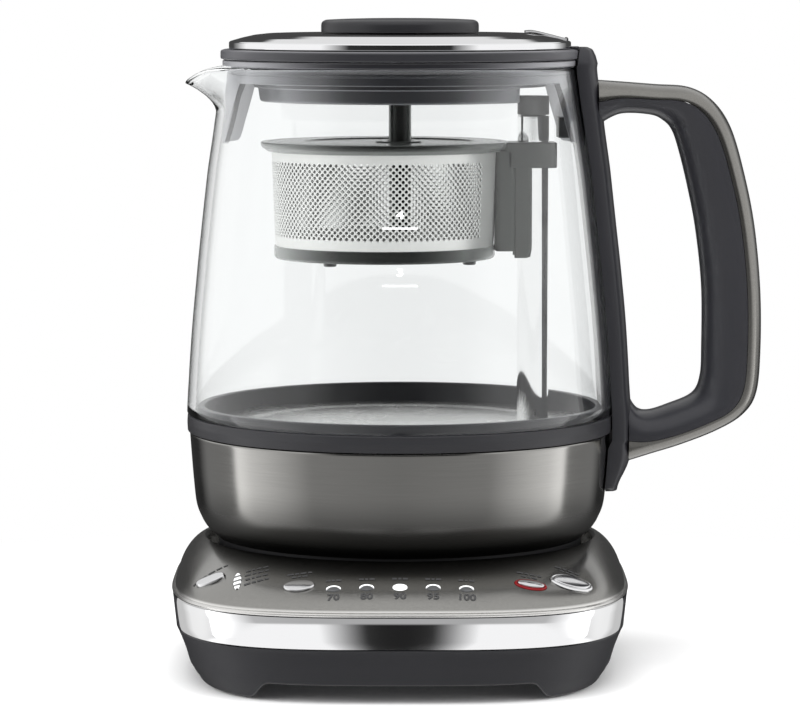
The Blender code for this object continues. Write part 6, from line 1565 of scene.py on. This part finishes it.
lid_plate = [(0.0063, lid_top), (0.0440, lid_top), (0.0470, 0.2243), (0.0515, 0.2238), (0.0560, 0.2228),
             (0.0601, 0.2216), (LID_PLATE_RADIUS, 0.2212), (LID_PLATE_RADIUS, plate_foot),
             (0.0063, plate_foot)]
fit(turned("lid_plate_spun", rounded(lid_plate, 0.0004, 6), steps=240), mirror_steel, "lid", "polished_steel",
    "lid_plate")


# Knob: a low round button of charcoal plastic, screwed through the plate, with a rounded rim and an
# almost flat top.
knob_low, knob_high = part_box("lid_knob")
knob_foot = lid_top + 0.0003
KNOB_RADIUS, KNOB_SPIGOT_RADIUS = 0.0279, 0.0060
knob_charcoal = moulded("knob_charcoal", (0.017, 0.017, 0.019), 0.36, pitch=0.0005, depth=0.00002,
                        Specular_IOR_Level=0.35)
# radii with their drops below the top
knob = [(radius, knob_high.z - drop) for radius, drop in (
    (0.0, 0.0), (0.0120, 0.0001), (0.0200, 0.0003), (0.0262, 0.0006), (0.0273, 0.0011), (0.0278, 0.0018),
    (KNOB_RADIUS, 0.0026))]
knob += [(KNOB_RADIUS, knob_foot + 0.0002), (0.0277, knob_foot), (KNOB_SPIGOT_RADIUS, knob_foot),
         (KNOB_SPIGOT_RADIUS, knob_low.z), (0.0, knob_low.z)]
fit(turned("lid_knob_moulding", rounded(knob, 0.0005, 4), steps=200), knob_charcoal, "lid",
    "charcoal_plastic", "lid_knob")


# Thumb tab: a bent tongue of polished steel on the lid's handle side, with a small black tip, for
# lifting the lid with the thumb.
TAB_HALF_WIDTH, TAB_HALF_THICKNESS = 0.0065, 0.0005
TAB_SPINE = ((0.0442, 0.2248), (0.0470, 0.2249), (0.0520, 0.2238), (0.0570, 0.2225), (0.0588, 0.2221))
TAB_LENGTH = 0.0146
TAB_FACETS = 24
TIP_X, TIP_Z, TIP_DEPTH, TIP_HALF_WIDTH, TIP_HALF_HEIGHT = 0.05885, 0.2222, 0.0007, 0.0044, 0.0008
tab_sections = []
for x, z in smooth_path(TAB_SPINE, 8):
    share = (x - TAB_SPINE[0][0]) / TAB_LENGTH
    half = TAB_HALF_WIDTH * (1 - 0.18 * share ** 3)
    section = []
    for index in range(TAB_FACETS):
        a = math.tau * index / TAB_FACETS
        y = half * math.copysign(abs(math.cos(a)) ** 0.35, math.cos(a))
        section.append((x, y, z + TAB_HALF_THICKNESS * math.copysign(abs(math.sin(a)) ** 0.8, math.sin(a))))
    tab_sections.append(section)
tab = skin("thumb_tab_tongue", tab_sections)
fit(even_shading(tab), polished("tab_steel", (0.52, 0.52, 0.53), 0.20), "lid", "polished_steel", "thumb_tab")
tip_turns = [math.tau * index / 20 for index in range(20)]
tip_sections = []
for step in range(9):
    a = math.pi * step / 8
    x = TIP_X - TIP_DEPTH * math.cos(a)
    wide = TIP_HALF_WIDTH * (0.2 + 0.8 * math.sin(a))
    high = TIP_HALF_HEIGHT * (0.15 + 0.85 * math.sin(a))
    tip_sections.append([(x, wide * math.cos(b), TIP_Z + high * math.sin(b)) for b in tip_turns])
fit(skin("thumb_tab_tip", tip_sections), connector_black, "lid", "black_plastic", "thumb_tab")


# Plug, seal and stem: the grey plug under the lid steps down into the collar behind a silicone seal.
# Its foot is cut off straight beside the post, and the stem in its middle closes the basket's lid.
plug_low, plug_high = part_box("lid_plug")
PLUG_CUT_X = 0.04105
PLUG_CUT_Z = 0.2056
CUT_LENGTH, CUT_WIDTH, CUT_BELOW = 0.0300, 0.1300, 0.004
plug = [(0.0, plug_high.z), (0.0559, plug_high.z), (0.0559, 0.2129), (0.0545, 0.2129), (0.0545, 0.2091),
        (0.0531, 0.2091), (0.0531, 0.2074), (0.0517, 0.2074), (0.0517, 0.2053), (0.0503, 0.2053),
        (0.0496, 0.2010), (0.0490, plug_low.z), (0.0483, plug_low.z), (0.0483, 0.2130), (0.0, 0.2130)]
plug_body = turned("lid_plug_moulding", rounded(plug, 0.0004, 3), steps=200)
cutter = placed_piece("plug_cut", bpy.data.meshes.new("plug_cut"))
cut_foot = plug_low.z - CUT_BELOW
cut_middle = (PLUG_CUT_X + CUT_LENGTH / 2, 0.0, (PLUG_CUT_Z + cut_foot) / 2)
shape = bmesh.new()
bmesh.ops.create_cube(shape, size=1.0)
bmesh.ops.scale(shape, vec=(CUT_LENGTH, CUT_WIDTH, PLUG_CUT_Z - cut_foot), verts=shape.verts)
bmesh.ops.translate(shape, vec=cut_middle, verts=shape.verts)
shape.to_mesh(cutter.data)
shape.free()
even_shading(carve(plug_body, cutter))
# painted sheen: the plug's colour is painted lighter where it turns away
plug_grey = painted_sheen("plug_grey", (0.022, 0.022, 0.025), (0.42, 0.42, 0.44), 0.0, 0.72, 0.33, Metallic=0.6,
                    Specular_IOR_Level=0.3)
fit(plug_body, plug_grey, "lid", "grey_plastic", "lid_plug")
seal_low_z, seal_high_z = (corner.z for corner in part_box("lid_seal"))
seal = [(0.0548, seal_high_z), (0.0560, seal_high_z), (0.0574, seal_high_z - 0.0003),
        (0.0574, seal_low_z + 0.0006), (0.0560, seal_low_z), (0.0548, seal_low_z)]
seal_silicone = moulded("seal_silicone", (0.20, 0.20, 0.21), 0.55)
fit(turned("lid_seal_lip", rounded(seal, 0.0003), steps=200), seal_silicone, "lid", "silicone", "lid_seal")
stem_low, stem_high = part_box("lid_stem")
flange_foot = stem_high.z - 0.0012
stem = [(0.0, stem_high.z), (0.0090, stem_high.z), (0.0090, flange_foot), (0.0046, flange_foot),
        (0.0040, stem_high.z - 0.0026), (0.0040, stem_low.z + 0.0006), (0.0034, stem_low.z),
        (0.0, stem_low.z)]
fit(turned("lid_stem_moulding", rounded(stem, 0.0005), steps=96), basket_charcoal, "lid", "charcoal_plastic",
    "lid_stem")


# Parts inside and underneath: switches, circuit boards, transformer, cord gland, rubber feet, screws,
# brass contacts, heating element, lift motor and magnet carrier. Their solids are shown as they are.
def repaint(finish, *nodes):
    """Gives solids that are shown as they are a finish."""
    for node in nodes:
        for place_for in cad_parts[node].material_slots:
            place_for.material = finish


board_green = moulded("board_green", (0.012, 0.085, 0.035), 0.38, pitch=0.0012, clouding=0.45, depth=0.00003)
copper_winding = brushed("copper_winding", (0.60, 0.25, 0.11), 0.34, contrast=0.60, fineness=1500.0,
                         depth=0.0001)
foot_rubber = moulded("foot_rubber", (0.018, 0.018, 0.019), 0.78, pitch=0.0006, depth=0.00004)
worn_brass = polished("worn_brass", (0.74, 0.52, 0.24), 0.20, spread=0.15)
inner_steel = brushed("inner_steel", (0.60, 0.60, 0.58), 0.30, contrast=0.16, fineness=1800.0)
inner_black = moulded("inner_black", (0.020, 0.020, 0.022), 0.45, pitch=0.0006, depth=0.00003)
repaint(board_green, "control_board", "power_board")
repaint(copper_winding, "transformer")
repaint(foot_rubber, "cord_gland", "rubber_foot_1", "rubber_foot_2", "rubber_foot_3", "rubber_foot_4")
repaint(worn_brass, "contact_pin", "temperature_sensor")
repaint(inner_steel, "base_screw_1", "base_screw_2", "base_screw_3", "handle_screw", "heating_element",
        "magnet_carrier")
repaint(inner_black, "strength_switch", "select_switch", "keep_warm_switch", "start_switch", "lift_motor")
